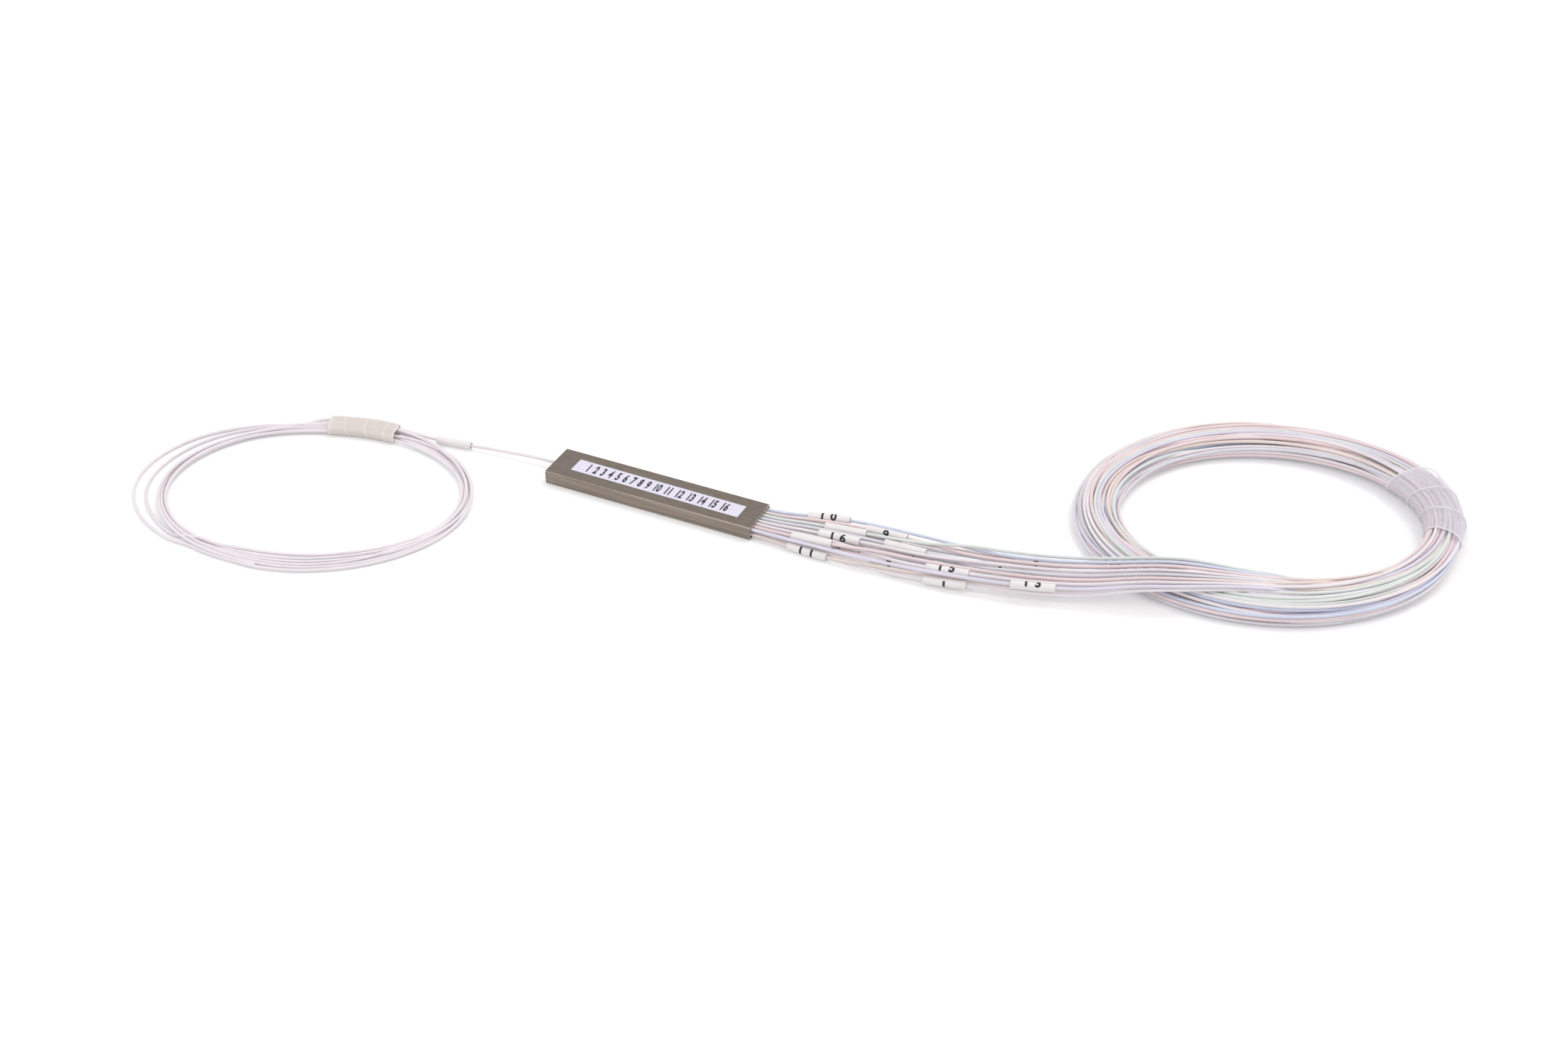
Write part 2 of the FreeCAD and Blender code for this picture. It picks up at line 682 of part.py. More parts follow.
# Two loose turns that stand out from the input coil's far side, measured from
# the housing's input end.
LOOSE_TURNS = [
    [(-73, -10.5), (-86, -16.5), (-96.5, -27), (-101, -41), (-98, -54.5), (-88, -64.5), (-75, -69.5)],
    [(-77, -12.5), (-88, -20), (-95, -30.5), (-97.2, -43), (-94, -54.5), (-85, -63), (-74, -68)],
]


def make_input_coil(tube):
    """The input coil, with the stretch where the tube runs into it and its two loose turns."""
    ring = Ring(
        Vector(-mouth_x + INPUT_CENTRE[0], INPUT_CENTRE[1], 0),
        size("input_coil_long"),
        size("input_coil_short"),
        size("input_coil_turn"),
    )
    coil = Part.makeLoft([ring.section(*section) for section in INPUT_SECTIONS], True, False, True)
    arrival = (tube[-1] - tube[-2]).normalize() * INPUT_ARRIVAL
    extras = [rod(tube[-1], tube[-1] + arrival, jacket)]
    for points in LOOSE_TURNS:
        route = [Vector(-mouth_x + x, y, jacket / 2) for x, y in points]
        wire, radii = tube_route(route)
        face = Part.Face(Part.Wire([Part.Circle(route[0], route[1] - route[0], jacket / 2).toShape()]))
        extras.append(wire.makePipe(face))
        print(f"loose turn: least radius {min(radii):.1f} mm")
    feature("input_coil", coil.fuse(extras))
    feature("input_coil_tape", ring.wrap(INPUT_SECTIONS, TAPE_ENDS, size("tape_thick")))


# ---------------------------------------------------------------- assembly

make_housing()
make_label()
make_ends()
make_chip()
make_fibre_blocks()
make_input_fibre()
make_ribbon("upper_ribbon", 1)
make_ribbon("lower_ribbon", 0)
make_output_tubes()
make_input_coil(make_input_tube())
make_output_coil()
make_output_wrap()
doc.recompute()

for item in doc.Objects:
    if "Invalid" in item.State or "Error" in item.State:
        raise RuntimeError(f"{item.Name} failed: {item.State}")
for name, piece in parts.items():
    if piece.Shape.isNull() or not piece.Shape.isValid() or not piece.Shape.Solids:
        raise RuntimeError(f"{name} has no valid solid")

os.makedirs("parts", exist_ok=True)
for name, piece in parts.items():
    piece.Shape.exportStep(f"parts/{name}.step")
print(f"{len(parts)} parts written")
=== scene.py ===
"""A fibre splitter module: steel housing, numbered loose tubes and their two coils."""

import math

import bmesh
import bpy
import numpy as np
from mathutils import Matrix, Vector


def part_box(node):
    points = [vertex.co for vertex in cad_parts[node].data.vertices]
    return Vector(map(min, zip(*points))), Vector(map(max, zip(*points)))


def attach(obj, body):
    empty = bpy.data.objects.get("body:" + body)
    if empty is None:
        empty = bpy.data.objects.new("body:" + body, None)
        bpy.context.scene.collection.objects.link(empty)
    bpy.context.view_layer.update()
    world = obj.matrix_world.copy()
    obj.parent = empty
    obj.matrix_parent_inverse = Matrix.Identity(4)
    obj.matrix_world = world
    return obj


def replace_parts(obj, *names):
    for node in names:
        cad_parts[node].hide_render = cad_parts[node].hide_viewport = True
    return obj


bl_info = {
    "name": "Fibre splitter module",
    "version": (1, 0, 0),
    "blender": (4, 5, 0),
    "location": "View3D > Sidebar > Splitter",
    "description": "Dresses a fibre splitter module with its tubes, sleeves, coils and finishes",
    "category": "Object",
}

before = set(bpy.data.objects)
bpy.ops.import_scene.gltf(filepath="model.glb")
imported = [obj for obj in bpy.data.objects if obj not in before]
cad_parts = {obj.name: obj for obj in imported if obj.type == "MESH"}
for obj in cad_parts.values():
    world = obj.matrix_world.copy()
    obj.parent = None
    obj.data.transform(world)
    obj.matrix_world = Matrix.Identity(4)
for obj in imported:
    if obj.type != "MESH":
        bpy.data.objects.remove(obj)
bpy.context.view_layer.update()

MM = 0.001
PORTS_PER_ROW = 8


def linear(red, green, blue):
    """A display colour, 0 to 255, as the linear colour that a shader takes."""
    shares = (red / 255, green / 255, blue / 255)
    return tuple(c / 12.92 if c <= 0.04045 else ((c + 0.055) / 1.055) ** 2.4 for c in shares)


# ----------------------------------------------------------------- settings


def colour_property(name, description, display):
    return bpy.props.FloatVectorProperty(
        name=name, description=description, subtype="COLOR", size=3, min=0, max=1, default=linear(*display)
    )


def float_property(name, description, default, **more):
    return bpy.props.FloatProperty(name=name, description=description, default=default, **more)


def length_property(name, description, metres):
    return float_property(name, description, metres, min=0, subtype="DISTANCE", unit="LENGTH")


class SplitterSizes(bpy.types.PropertyGroup):
    """Sizes of the tubes, the sleeves and the film round the coils."""

    jacket: length_property("Jacket", "Outside diameter of a loose tube", 0.9 * MM)
    output_turns: float_property("Output turns", "Turns of each output tube in its coil", 5.2, min=1, max=9)
    input_turns: float_property("Input turns", "Turns of the input tube in its coil", 6.5, min=3, max=9)
    sleeve_length: length_property("Sleeve length", "Length of a number sleeve", 11 * MM)
    sleeve_radius: length_property("Sleeve radius", "Outside radius of a number sleeve", 1.05 * MM)
    sleeve_wall: length_property("Sleeve wall", "Wall of a number sleeve", 0.3 * MM)
    digit_height: length_property("Digit height", "Height of the digits on a sleeve", 2.5 * MM)
    wrap_pitch: length_property("Wrap pitch", "Step of the spiral wrap round the output coil", 9.8 * MM)


class SplitterColours(bpy.types.PropertyGroup):
    """Colours of the main finishes."""

    steel: colour_property("Steel", "Satin steel of the housing", (124, 114, 106))
    # Painted highlight: the colour painted on the steel's cut ends.
    cut_edge: colour_property("Cut edge", "Bright cut edge of the steel", (205, 198, 190))
    label: colour_property("Label", "Printed film on the housing", (232, 227, 243))
    ink: colour_property("Ink", "Print on the label and the sleeves", (30, 32, 46))
    sleeve: colour_property("Sleeve", "Number sleeves", (246, 241, 240))
    wrap: colour_property("Wrap", "Spiral wrap round the output coil", (246, 240, 250))
    tape: colour_property("Tape", "Clear tape round the input coil", (246, 236, 230))


class SplitterStage(bpy.types.PropertyGroup):
    """Camera and lights."""

    distance: length_property("Distance", "Camera to the point it looks at", 0.56)
    azimuth: float_property("Azimuth", "Camera round the module", math.radians(25.31), subtype="ANGLE")
    elevation: float_property("Elevation", "Camera above the table", math.radians(36), subtype="ANGLE")
    sky: float_property("Sky", "Light from all round", 0.72, min=0)
    key_power: float_property("Key lamp", "Strength of the soft lamp behind", 0.75, min=0)
    front_power: float_property("Front lamp", "Strength of the soft lamp in front", 0.4, min=0)


def sizes():
    return bpy.context.scene.splitter_sizes


def colours():
    return bpy.context.scene.splitter_colours


# ---------------------------------------------------------------- materials


def new_material(name, colour, roughness, **sockets):
    """A material whose Principled shader has these plain values."""
    material = bpy.data.materials.new(name)
    material.use_nodes = True
    shader = material.node_tree.nodes["Principled BSDF"]
    shader.inputs["Base Color"].default_value = (*colour, 1)
    shader.inputs["Roughness"].default_value = roughness
    for socket, value in sockets.items():
        shader.inputs[socket.replace("_", " ")].default_value = value
    return material


def add_node(tree, kind, inputs=(), **settings):
    """A node with these settings; each input is a value or another node's socket."""
    node = tree.nodes.new(kind)
    for name, value in settings.items():
        setattr(node, name, value)
    for key, value in dict(inputs).items():
        if isinstance(value, bpy.types.NodeSocket):
            tree.links.new(value, node.inputs[key])
        else:
            node.inputs[key].default_value = value
    return node


def maths(tree, operation, *values):
    """The result of one sum on values or other nodes' sockets."""
    return add_node(tree, "ShaderNodeMath", dict(enumerate(values)), operation=operation).outputs[0]


def mix_colours(tree, share, first, second):
    """The colour that lies this share of the way from the first to the second."""
    sockets = {"Factor": share, 6: first, 7: second}
    return add_node(tree, "ShaderNodeMix", sockets, data_type="RGBA").outputs[2]


def group_tree(name, kind, inputs, outputs):
    """An empty node group with these named sockets, and its input and output nodes."""
    tree = bpy.data.node_groups.new(name, kind)
    for label, socket, value in inputs:
        made = tree.interface.new_socket(label, in_out="INPUT", socket_type=socket)
        if value is not None:
            made.default_value = value
    for label, socket in outputs:
        tree.interface.new_socket(label, in_out="OUTPUT", socket_type=socket)
    return tree, tree.nodes.new("NodeGroupInput"), tree.nodes.new("NodeGroupOutput")


def stretched_noise(tree, given, detail, roughness):
    """Noise on the piece's own coordinates, stretched and scaled by the group's inputs."""
    place = tree.nodes.new("ShaderNodeTexCoord").outputs["Object"]
    stretched = add_node(
        tree, "ShaderNodeVectorMath", {0: place, 1: given.outputs["Stretch"]}, operation="MULTIPLY"
    )
    sockets = {"Vector": stretched.outputs[0], "Scale": given.outputs["Scale"]}
    noise = add_node(tree, "ShaderNodeTexNoise", {**sockets, "Detail": detail, "Roughness": roughness})
    return noise.outputs["Fac"]


def mottle_group():
    """Soft blotches that shift a colour and a roughness, stretched along one axis."""
    if "Mottle" in bpy.data.node_groups:
        return bpy.data.node_groups["Mottle"]
    tree, given, result = group_tree(
        "Mottle",
        "ShaderNodeTree",
        [
            ("Colour", "NodeSocketColor", (0.8, 0.8, 0.8, 1)),
            ("Second Colour", "NodeSocketColor", (0.7, 0.7, 0.7, 1)),
            ("Stretch", "NodeSocketVector", (1, 1, 1)),
            ("Scale", "NodeSocketFloat", 100.0),
            ("Roughness", "NodeSocketFloat", 0.4),
            ("Roughness Spread", "NodeSocketFloat", 0.1),
        ],
        [("Colour", "NodeSocketColor"), ("Roughness", "NodeSocketFloat"), ("Mask", "NodeSocketFloat")],
    )
    softened = {"Value": stretched_noise(tree, given, 4.0, 0.6), "From Min": 0.32, "From Max": 0.68}
    mask = add_node(tree, "ShaderNodeMapRange", softened).outputs["Result"]
    mixed = mix_colours(tree, mask, given.outputs["Colour"], given.outputs["Second Colour"])
    rough = maths(tree, "MULTIPLY_ADD", mask, given.outputs["Roughness Spread"], given.outputs["Roughness"])
    tree.links.new(mixed, result.inputs["Colour"])
    tree.links.new(rough, result.inputs["Roughness"])
    tree.links.new(mask, result.inputs["Mask"])
    return tree


def grain_group():
    """A fine surface grain as a normal, stretched along one axis."""
    if "Grain" in bpy.data.node_groups:
        return bpy.data.node_groups["Grain"]
    tree, given, result = group_tree(
        "Grain",
        "ShaderNodeTree",
        [
            ("Stretch", "NodeSocketVector", (1, 1, 1)),
            ("Scale", "NodeSocketFloat", 3000.0),
            ("Strength", "NodeSocketFloat", 0.2),
            ("Depth", "NodeSocketFloat", 0.00005),
        ],
        [("Normal", "NodeSocketVector")],
    )
    noise = stretched_noise(tree, given, 3.0, 0.5)
    sockets = {"Strength": given.outputs["Strength"], "Distance": given.outputs["Depth"], "Height": noise}
    bump = add_node(tree, "ShaderNodeBump", sockets)
    tree.links.new(bump.outputs["Normal"], result.inputs["Normal"])
    return tree


def place_group(tree, group, values):
    """A shader group placed in a material with its own values."""
    node = add_node(tree, "ShaderNodeGroup", node_tree=group)
    for name, value in values.items():
        node.inputs[name].default_value = value
    return node


def add_mottle(material, colour, second, scale, roughness, spread, stretch=(1, 1, 1)):
    """Feeds the material's colour and roughness from the Mottle group; returns the group node."""
    tree = material.node_tree
    values = {"Colour": (*colour, 1), "Second Colour": (*second, 1), "Stretch": stretch, "Scale": scale}
    values |= {"Roughness": roughness, "Roughness Spread": spread}
    group = place_group(tree, mottle_group(), values)
    shader = tree.nodes["Principled BSDF"]
    tree.links.new(group.outputs["Colour"], shader.inputs["Base Color"])
    tree.links.new(group.outputs["Roughness"], shader.inputs["Roughness"])
    return group


def add_grain(material, scale, strength, depth, stretch=(1, 1, 1)):
    tree = material.node_tree
    values = {"Stretch": stretch, "Scale": scale, "Strength": strength, "Depth": depth}
    group = place_group(tree, grain_group(), values)
    tree.links.new(group.outputs["Normal"], tree.nodes["Principled BSDF"].inputs["Normal"])


def shade(colour, share):
    """The colour made darker, or lighter where share is over 1."""
    return tuple(min(1.0, c * share) for c in colour)


def steel_material():
    """Satin steel with streaks along the housing; its sides are painted lighter as a painted reflection, and
    its cut ends painted bright as a painted highlight.
    """
    steel = tuple(colours().steel)
    material = new_material("satin_steel", steel, 0.36, Metallic=1.0)
    group = add_mottle(material, shade(steel, 0.9), shade(steel, 1.14), 1300, 0.33, 0.08, (0.35, 1, 1))
    add_grain(material, 6000, 0.22, 0.00004, (0.12, 1, 1))
    tree = material.node_tree
    # Painted reflection: the front and back sides take lighter shades, 1.05 to 1.75 times the steel, in
    # streaks along the housing.
    side_sheen_shades = {"Colour": (*shade(steel, 1.05), 1), "Second Colour": (*shade(steel, 1.75), 1)}
    streaks_and_side_sheen = place_group(tree, mottle_group(), {"Stretch": (0.02, 1, 1), "Scale": 1800, **side_sheen_shades})
    normal = tree.nodes.new("ShaderNodeNewGeometry").outputs["True Normal"]
    facing = add_node(tree, "ShaderNodeSeparateXYZ", {0: normal})
    colour = group.outputs["Colour"]
    # Painted highlight: the cut ends, which face along X, take this bright colour.
    cut_edge = (*colours().cut_edge, 1)
    # Painted light: faces looking along Y take the painted reflection, and faces looking along X take the
    # painted highlight.
    for axis, level, other in (("Y", 0.5, streaks_and_side_sheen.outputs["Colour"]), ("X", 0.9, cut_edge)):
        there = maths(tree, "GREATER_THAN", maths(tree, "ABSOLUTE", facing.outputs[axis]), level)
        colour = mix_colours(tree, there, colour, other)
    tree.links.new(colour, tree.nodes["Principled BSDF"].inputs["Base Color"])
    return material


def soft_material(name, colour, roughness, mottle, grain=None, **sockets):
    """A material of one colour.

    The mottle is the share of its second shade, its scale, roughness and spread,
    and the grain is its scale, strength and depth.
    """
    material = new_material(name, colour, roughness, **sockets)
    second_share, *rest = mottle
    add_mottle(material, colour, shade(colour, second_share), *rest)
    if grain:
        add_grain(material, *grain)
    return material


def film_material():
    """Matt label film."""
    label = tuple(colours().label)
    return soft_material("label_film", label, 0.5, (0.96, 220, 0.46, 0.1), (2500, 0.12, 0.00002))


def ink_material():
    return soft_material("number_ink", tuple(colours().ink), 0.6, (1.5, 2500, 0.55, 0.15))


def sleeve_material():
    """Soft white print tube."""
    sleeve_white = tuple(colours().sleeve)
    return soft_material("sleeve_plastic", sleeve_white, 0.45, (0.93, 260, 0.42, 0.12), (1600, 0.2, 0.00004))


def tube_material(name, display):
    """Milky loose tube with its coloured fibre showing through."""
    gloss = {"Coat_Weight": 0.2, "Coat_Roughness": 0.25}
    mottle, grain = (0.92, 90, 0.3, 0.12), (1800, 0.06, 0.00003)
    return soft_material(name, linear(*display), 0.34, mottle, grain, **gloss)


TUBE_COLOURS = {
    "tube_white": (246, 238, 242),
    "tube_pink": (244, 224, 226),
    "tube_blue": (220, 227, 245),
    "tube_green": (233, 237, 234),
    "tube_lavender": (232, 226, 242),
    "tube_grey": (229, 227, 235),
    "tube_sand": (244, 229, 223),
}


def finish(slot):
    """The finished material of one of the record's slots, made the first time that it is asked for."""
    name = f"{slot}_finish"
    if name in bpy.data.materials:
        return bpy.data.materials[name]
    if slot in TUBE_COLOURS:
        return tube_material(name, TUBE_COLOURS[slot])
    material = FINISHES[slot]()
    material.name = name
    return material


def plain(display, second_share, scale, roughness, **sockets):
    """A maker of a mottled material for a piece that is seldom seen."""

    def make():
        mottle, grain = (second_share, scale, roughness, 0.08), (2500, 0.15, 0.00003)
        return soft_material("plain", linear(*display), roughness, mottle, grain, **sockets)

    return make


SEAM_WHITE = (0.93, 0.92, 0.94, 1)
SEAM_ALPHA = 0.9


def clear_film(colour, alpha, scale):
    """Clear film, whiter along its seams and a little milky where it lies thick."""

    def make():
        tint = tuple(getattr(colours(), colour))
        material = new_material(colour, tint, 0.25, Coat_Weight=0.4, Coat_Roughness=0.12)
        group = add_mottle(material, tint, shade(tint, 0.97), scale, 0.25, 0.14)
        tree = material.node_tree
        shader = tree.nodes["Principled BSDF"]
        seam = add_node(tree, "ShaderNodeAttribute", attribute_name="seam").outputs["Fac"]
        whiter = mix_colours(tree, seam, group.outputs["Colour"], SEAM_WHITE)
        tree.links.new(whiter, shader.inputs["Base Color"])
        cloudy = {"Value": group.outputs["Mask"], "To Min": alpha - 0.04, "To Max": alpha + 0.04}
        milky = add_node(tree, "ShaderNodeMapRange", cloudy)
        sockets = {"Factor": seam, "A": milky.outputs["Result"], "B": SEAM_ALPHA}
        thick = add_node(tree, "ShaderNodeMix", sockets, data_type="FLOAT")
        tree.links.new(thick.outputs[0], shader.inputs["Alpha"])
        return material

    return make


FINISHES = {
    "steel": steel_material,
    "label_film": film_material,
    "number_ink": ink_material,
    "sleeve_plastic": sleeve_material,
    "clear_wrap": clear_film("wrap", 0.34, 300),
    "clear_tape": clear_film("tape", 0.66, 350),
    "silicone": plain((222, 221, 219), 0.94, 300, 0.35),
    "silicon": plain((122, 125, 130), 0.9, 500, 0.15, Metallic=0.6),
    "block_glass": plain((226, 236, 236), 0.97, 200, 0.08, Transmission_Weight=0.8, IOR=1.47),
    "coated_fibre": plain((228, 221, 206), 0.93, 800, 0.3),
    "holder_plastic": plain((34, 34, 36), 0.8, 700, 0.5),
    "epoxy": plain((30, 30, 33), 0.75, 500, 0.22, Coat_Weight=0.4),
}


def dress(node, slot):
    """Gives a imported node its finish."""
    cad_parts[node].data.materials.clear()
    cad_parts[node].data.materials.append(finish(slot))


# ------------------------------------------------------------ mesh building


def linked_object(name, data):
    piece = bpy.data.objects.new(name, data)
    bpy.context.collection.objects.link(piece)
    return piece


def finished_piece(name, data, slot):
    """A piece of this mesh or curve, in the slot's finish and on the module's one body."""
    data.materials.clear()
    data.materials.append(finish(slot))
    piece = linked_object(name, data)
    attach(piece, "root")
    return piece


def evaluated_mesh(piece):
    """The plain mesh that a piece's curve or modifiers give."""
    graph = bpy.context.evaluated_depsgraph_get()
    return bpy.data.meshes.new_from_object(piece.evaluated_get(graph))


def apply_modifiers(piece):
    """Gives the piece the plain mesh that its modifiers make of it."""
    made = evaluated_mesh(piece)
    piece.modifiers.clear()
    piece.data = made
    made.name = piece.name


def point_array(mesh):
    return np.array([v.co for v in mesh.vertices])


# -------------------------------------------------------------------- tubes

# Each output tube, from the front of its row to the back: port, finish, how far it
# goes straight out, the points of its route from the mouth, its last run and how
# far across the coil's face it ends.
UPPER_TUBES = [
    (13, "tube_lavender", 0.0045, [(0.02, -0.0052, 0.0035), (0.039, -0.0044, 0.0037)], 0.021, -0.0065),
    (7, "tube_pink", 0.0025, [
        (0.01, -0.0033, 0.0031), (0.022, -0.0029, 0.0036), (0.033, -0.0015, 0.0044),
        (0.044, -0.0002, 0.0041),
    ], 0.02, -0.0028),
    (15, "tube_white", 0.0045, [
        (0.018, -0.0012, 0.0034), (0.03, -0.0014, 0.0032), (0.041, -0.0023, 0.0034),
    ], 0.021, -0.0046),
    (16, "tube_white", 0.0035, [
        (0.013, 0.0002, 0.0034), (0.031, 0.0014, 0.0037), (0.046, 0.0023, 0.0041), (0.057, 0.0042, 0.0048),
    ], 0.017, 0.0009),
    (14, "tube_grey", 0.004, [
        (0.015, 0.0022, 0.0034), (0.031, 0.0033, 0.0036), (0.047, 0.0042, 0.0036), (0.058, 0.0042, 0.0033),
    ], 0.016, -0.001),
    (12, "tube_green", 0.0035, [
        (0.013, 0.0036, 0.0033), (0.031, 0.0054, 0.0036), (0.044, 0.0066, 0.0044), (0.055, 0.0096, 0.0054),
    ], 0.017, 0.0064),
    (9, "tube_pink", 0.003, [
        (0.012, 0.0052, 0.0032), (0.023, 0.0071, 0.0035), (0.041, 0.0082, 0.0034), (0.052, 0.0077, 0.0034),
    ], 0.019, 0.0028),
    (10, "tube_blue", 0.0025, [
        (0.01, 0.0064, 0.0031), (0.022, 0.009, 0.0036), (0.042, 0.0102, 0.0037), (0.054, 0.0106, 0.0035),
    ], 0.017, 0.0046),
]
LOWER_TUBES = [
    (11, "tube_sand", 0.0025, [
        (0.01, -0.0052, 0.00125), (0.022, -0.0057, 0.0013), (0.034, -0.0044, 0.00205),
        (0.044, -0.0028, 0.0017),
    ], 0.02, -0.0047),
    (1, "tube_white", 0.0045, [
        (0.019, -0.0036, 0.0011), (0.029, -0.0043, 0.00085), (0.041, -0.0048, 0.00115),
    ], 0.021, -0.0067),
    (2, "tube_pink", 0.0035, [
        (0.013, -0.0017, 0.0012), (0.027, -0.0013, 0.00125), (0.046, -0.0001, 0.0013),
        (0.057, 0.002, 0.0009),
    ], 0.017, -0.0009),
    (3, "tube_lavender", 0.0035, [
        (0.013, 0.0001, 0.0012), (0.031, 0.001, 0.00125), (0.046, 0.0022, 0.0018), (0.057, 0.002, 0.0021),
    ], 0.017, -0.0029),
    (4, "tube_white", 0.004, [
        (0.016, 0.0019, 0.0012), (0.032, 0.003, 0.0013), (0.043, 0.0044, 0.00215), (0.053, 0.006, 0.00235),
    ], 0.01, 0.0019),
    (5, "tube_green", 0.004, [
        (0.015, 0.0038, 0.0012), (0.031, 0.0051, 0.00125), (0.049, 0.0062, 0.00115),
        (0.058, 0.0055, 0.0009),
    ], 0.015, 0.0007),
    (6, "tube_grey", 0.0045, [(0.02, 0.0062, 0.0012), (0.039, 0.0078, 0.0014)], 0.021, 0.0049),
    (8, "tube_sand", 0.0045, [(0.02, 0.0082, 0.0012), (0.04, 0.0097, 0.0013)], 0.021, 0.0068),
]
UPPER_ENTRY_Z, LOWER_ENTRY_Z = 0.0047, 0.0028
ENTRY = Vector((0.082, 0.0103, 0))
ENTRY_HALF = 0.0068
ENTRY_HEADING = math.radians(16)
TUBE_GRIP = 0.0045
LEAD_PITCH, ROW_SPACING = 0.00135, 0.0015

# The input tube's place in the housing's other end and its points from there.
INPUT_PLACE = (0.0012, 0.002)
INPUT_TUBE = [(-0.0135, 0.0006, 0.0017), (-0.0255, -0.0007, 0.0013), (-0.037, -0.0025, 0.0013)]
INPUT_SLEEVE_LENGTH = 10 * MM

# The turns that stand out from the input coil, with the angles between which
# they do, and their points from the housing's input end.
LOOSE_TURNS = {
    1: ((123, 244), [
        (-0.073, -0.0105), (-0.086, -0.0165), (-0.0965, -0.027), (-0.101, -0.041),
        (-0.098, -0.0545), (-0.088, -0.0645), (-0.075, -0.0695),
    ]),
    3: ((129, 244), [
        (-0.077, -0.0125), (-0.088, -0.020), (-0.095, -0.0305), (-0.0972, -0.043),
        (-0.094, -0.0545), (-0.085, -0.063), (-0.074, -0.068),
    ]),
}

# Where the output tubes come into their coil: at each station from the first on,
# how far outward the middle of their flight is, its half width, and each row's height.
ARRIVAL_STATION = 25
ARRIVALS = [
    (0.0054, 0.0080, 0.0076, 0.0065),
    (0.0010, 0.0065, 0.0077, 0.0068),
    (-0.0016, 0.0046, 0.0076, 0.0067),
    (-0.0034, 0.0034, 0.0071, 0.0062),
    (-0.0044, 0.0030, 0.0064, 0.0056),
]
INPUT_ARRIVAL_STATION = 9
INPUT_ARRIVALS = [(0.0016, 0.0019), (0.0012, 0.0020)]

shell_low, shell_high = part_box("housing_shell")
input_x, mouth_x = shell_low[0], shell_high[0]
mid_z = (shell_low[2] + shell_high[2]) / 2
forward = Vector((math.cos(ENTRY_HEADING), math.sin(ENTRY_HEADING), 0))
sideways = Vector((-forward.y, forward.x, 0))
entry = Vector((mouth_x, 0, 0)) + ENTRY

# How the digits on each sleeve are rolled, in degrees from straight up towards
# the front. Half of them are turned away.
ROLLS = {10: 26, 16: 52, 9: 72, 11: 62, 2: 88, 1: 100, 15: 2, 4: 98, 13: -2, 6: 6, 5: 96, 8: 6, 3: 60}
TURNED_AWAY = 190


def output_route(row, place, tube):
    """Control points of an output tube from its holder to the coil's entry."""
    straight, middle, last_run, across = tube[2:]
    y = (place - (PORTS_PER_ROW - 1) / 2) * LEAD_PITCH
    z = mid_z + (row - 0.5) * ROW_SPACING
    end = entry + sideways * across + Vector((0, 0, UPPER_ENTRY_Z if row else LOWER_ENTRY_Z))
    route = [Vector((mouth_x - TUBE_GRIP, y, z)), Vector((mouth_x + straight, y, z))]
    route += [Vector((mouth_x + x, side, up)) for x, side, up in middle]
    return route + [end - forward * last_run, end]


def output_arrival(row, tube):
    """Where a tube crosses the coil's first sections, on its way down into it."""
    share = tube[-1] / ENTRY_HALF
    return [(middle - share * half, upper if row else lower) for middle, half, upper, lower in ARRIVALS]


class Ring:
    """The middle line of a coil's bundle, an ellipse, and the bundle's sections round it."""

    def __init__(self, centre, long_half, short_half, turn, sections, ease):
        self.centre = np.array(centre)
        self.halves = np.array((long_half, short_half))
        self.turn = math.radians(turn)
        table = np.array([*sections, sections[0]])
        table[-1, 0] += 360
        self.angles = table[:, 0]
        self.sections = table[:, 1:] * MM + (0, ease, ease, 0)
        self.reach = None

    def at(self, degrees):
        """The points and the outward directions at these angles."""
        angle = np.radians(np.asarray(degrees, float)) - self.turn
        around = np.stack([np.cos(angle), np.sin(angle)], axis=-1)
        cos, sin = math.cos(self.turn), math.sin(self.turn)
        spin = np.array([[cos, sin], [-sin, cos]])
        outward = around * self.halves[::-1]
        outward /= np.linalg.norm(outward, axis=-1, keepdims=True)
        return self.centre + (around * self.halves) @ spin, outward @ spin

    def section(self, degrees):
        """The middle (outward, up) and the size (width, height) of the bundle at these angles."""
        first = self.angles[0]
        wanted = (np.asarray(degrees) - first) % 360 + first
        aside, width, height, low = (np.interp(wanted, self.angles, column) for column in self.sections.T)
        return np.stack([aside, low + height / 2], axis=-1), np.stack([width, height], axis=-1)

    def hug(self, degrees):
        """The middle and the size of what the settled tubes take up at these angles."""
        if self.reach is None:
            raise RuntimeError("the tubes are wound before their film")
        wanted = np.asarray(degrees) % 360 / 360 * STATIONS
        around = np.arange(STATIONS + 1)
        return tuple(
            np.stack([np.interp(wanted, around, [*values[:, k], values[0, k]]) for k in range(2)], axis=-1)
            for values in self.reach
        )

    def place(self, degrees, spots):
        """The points in space of spots (outward, up) on the sections at these angles."""
        points, outward = self.at(degrees)
        flat = points + outward * spots[..., :1]
        return np.concatenate([flat, spots[..., 1:]], axis=-1)


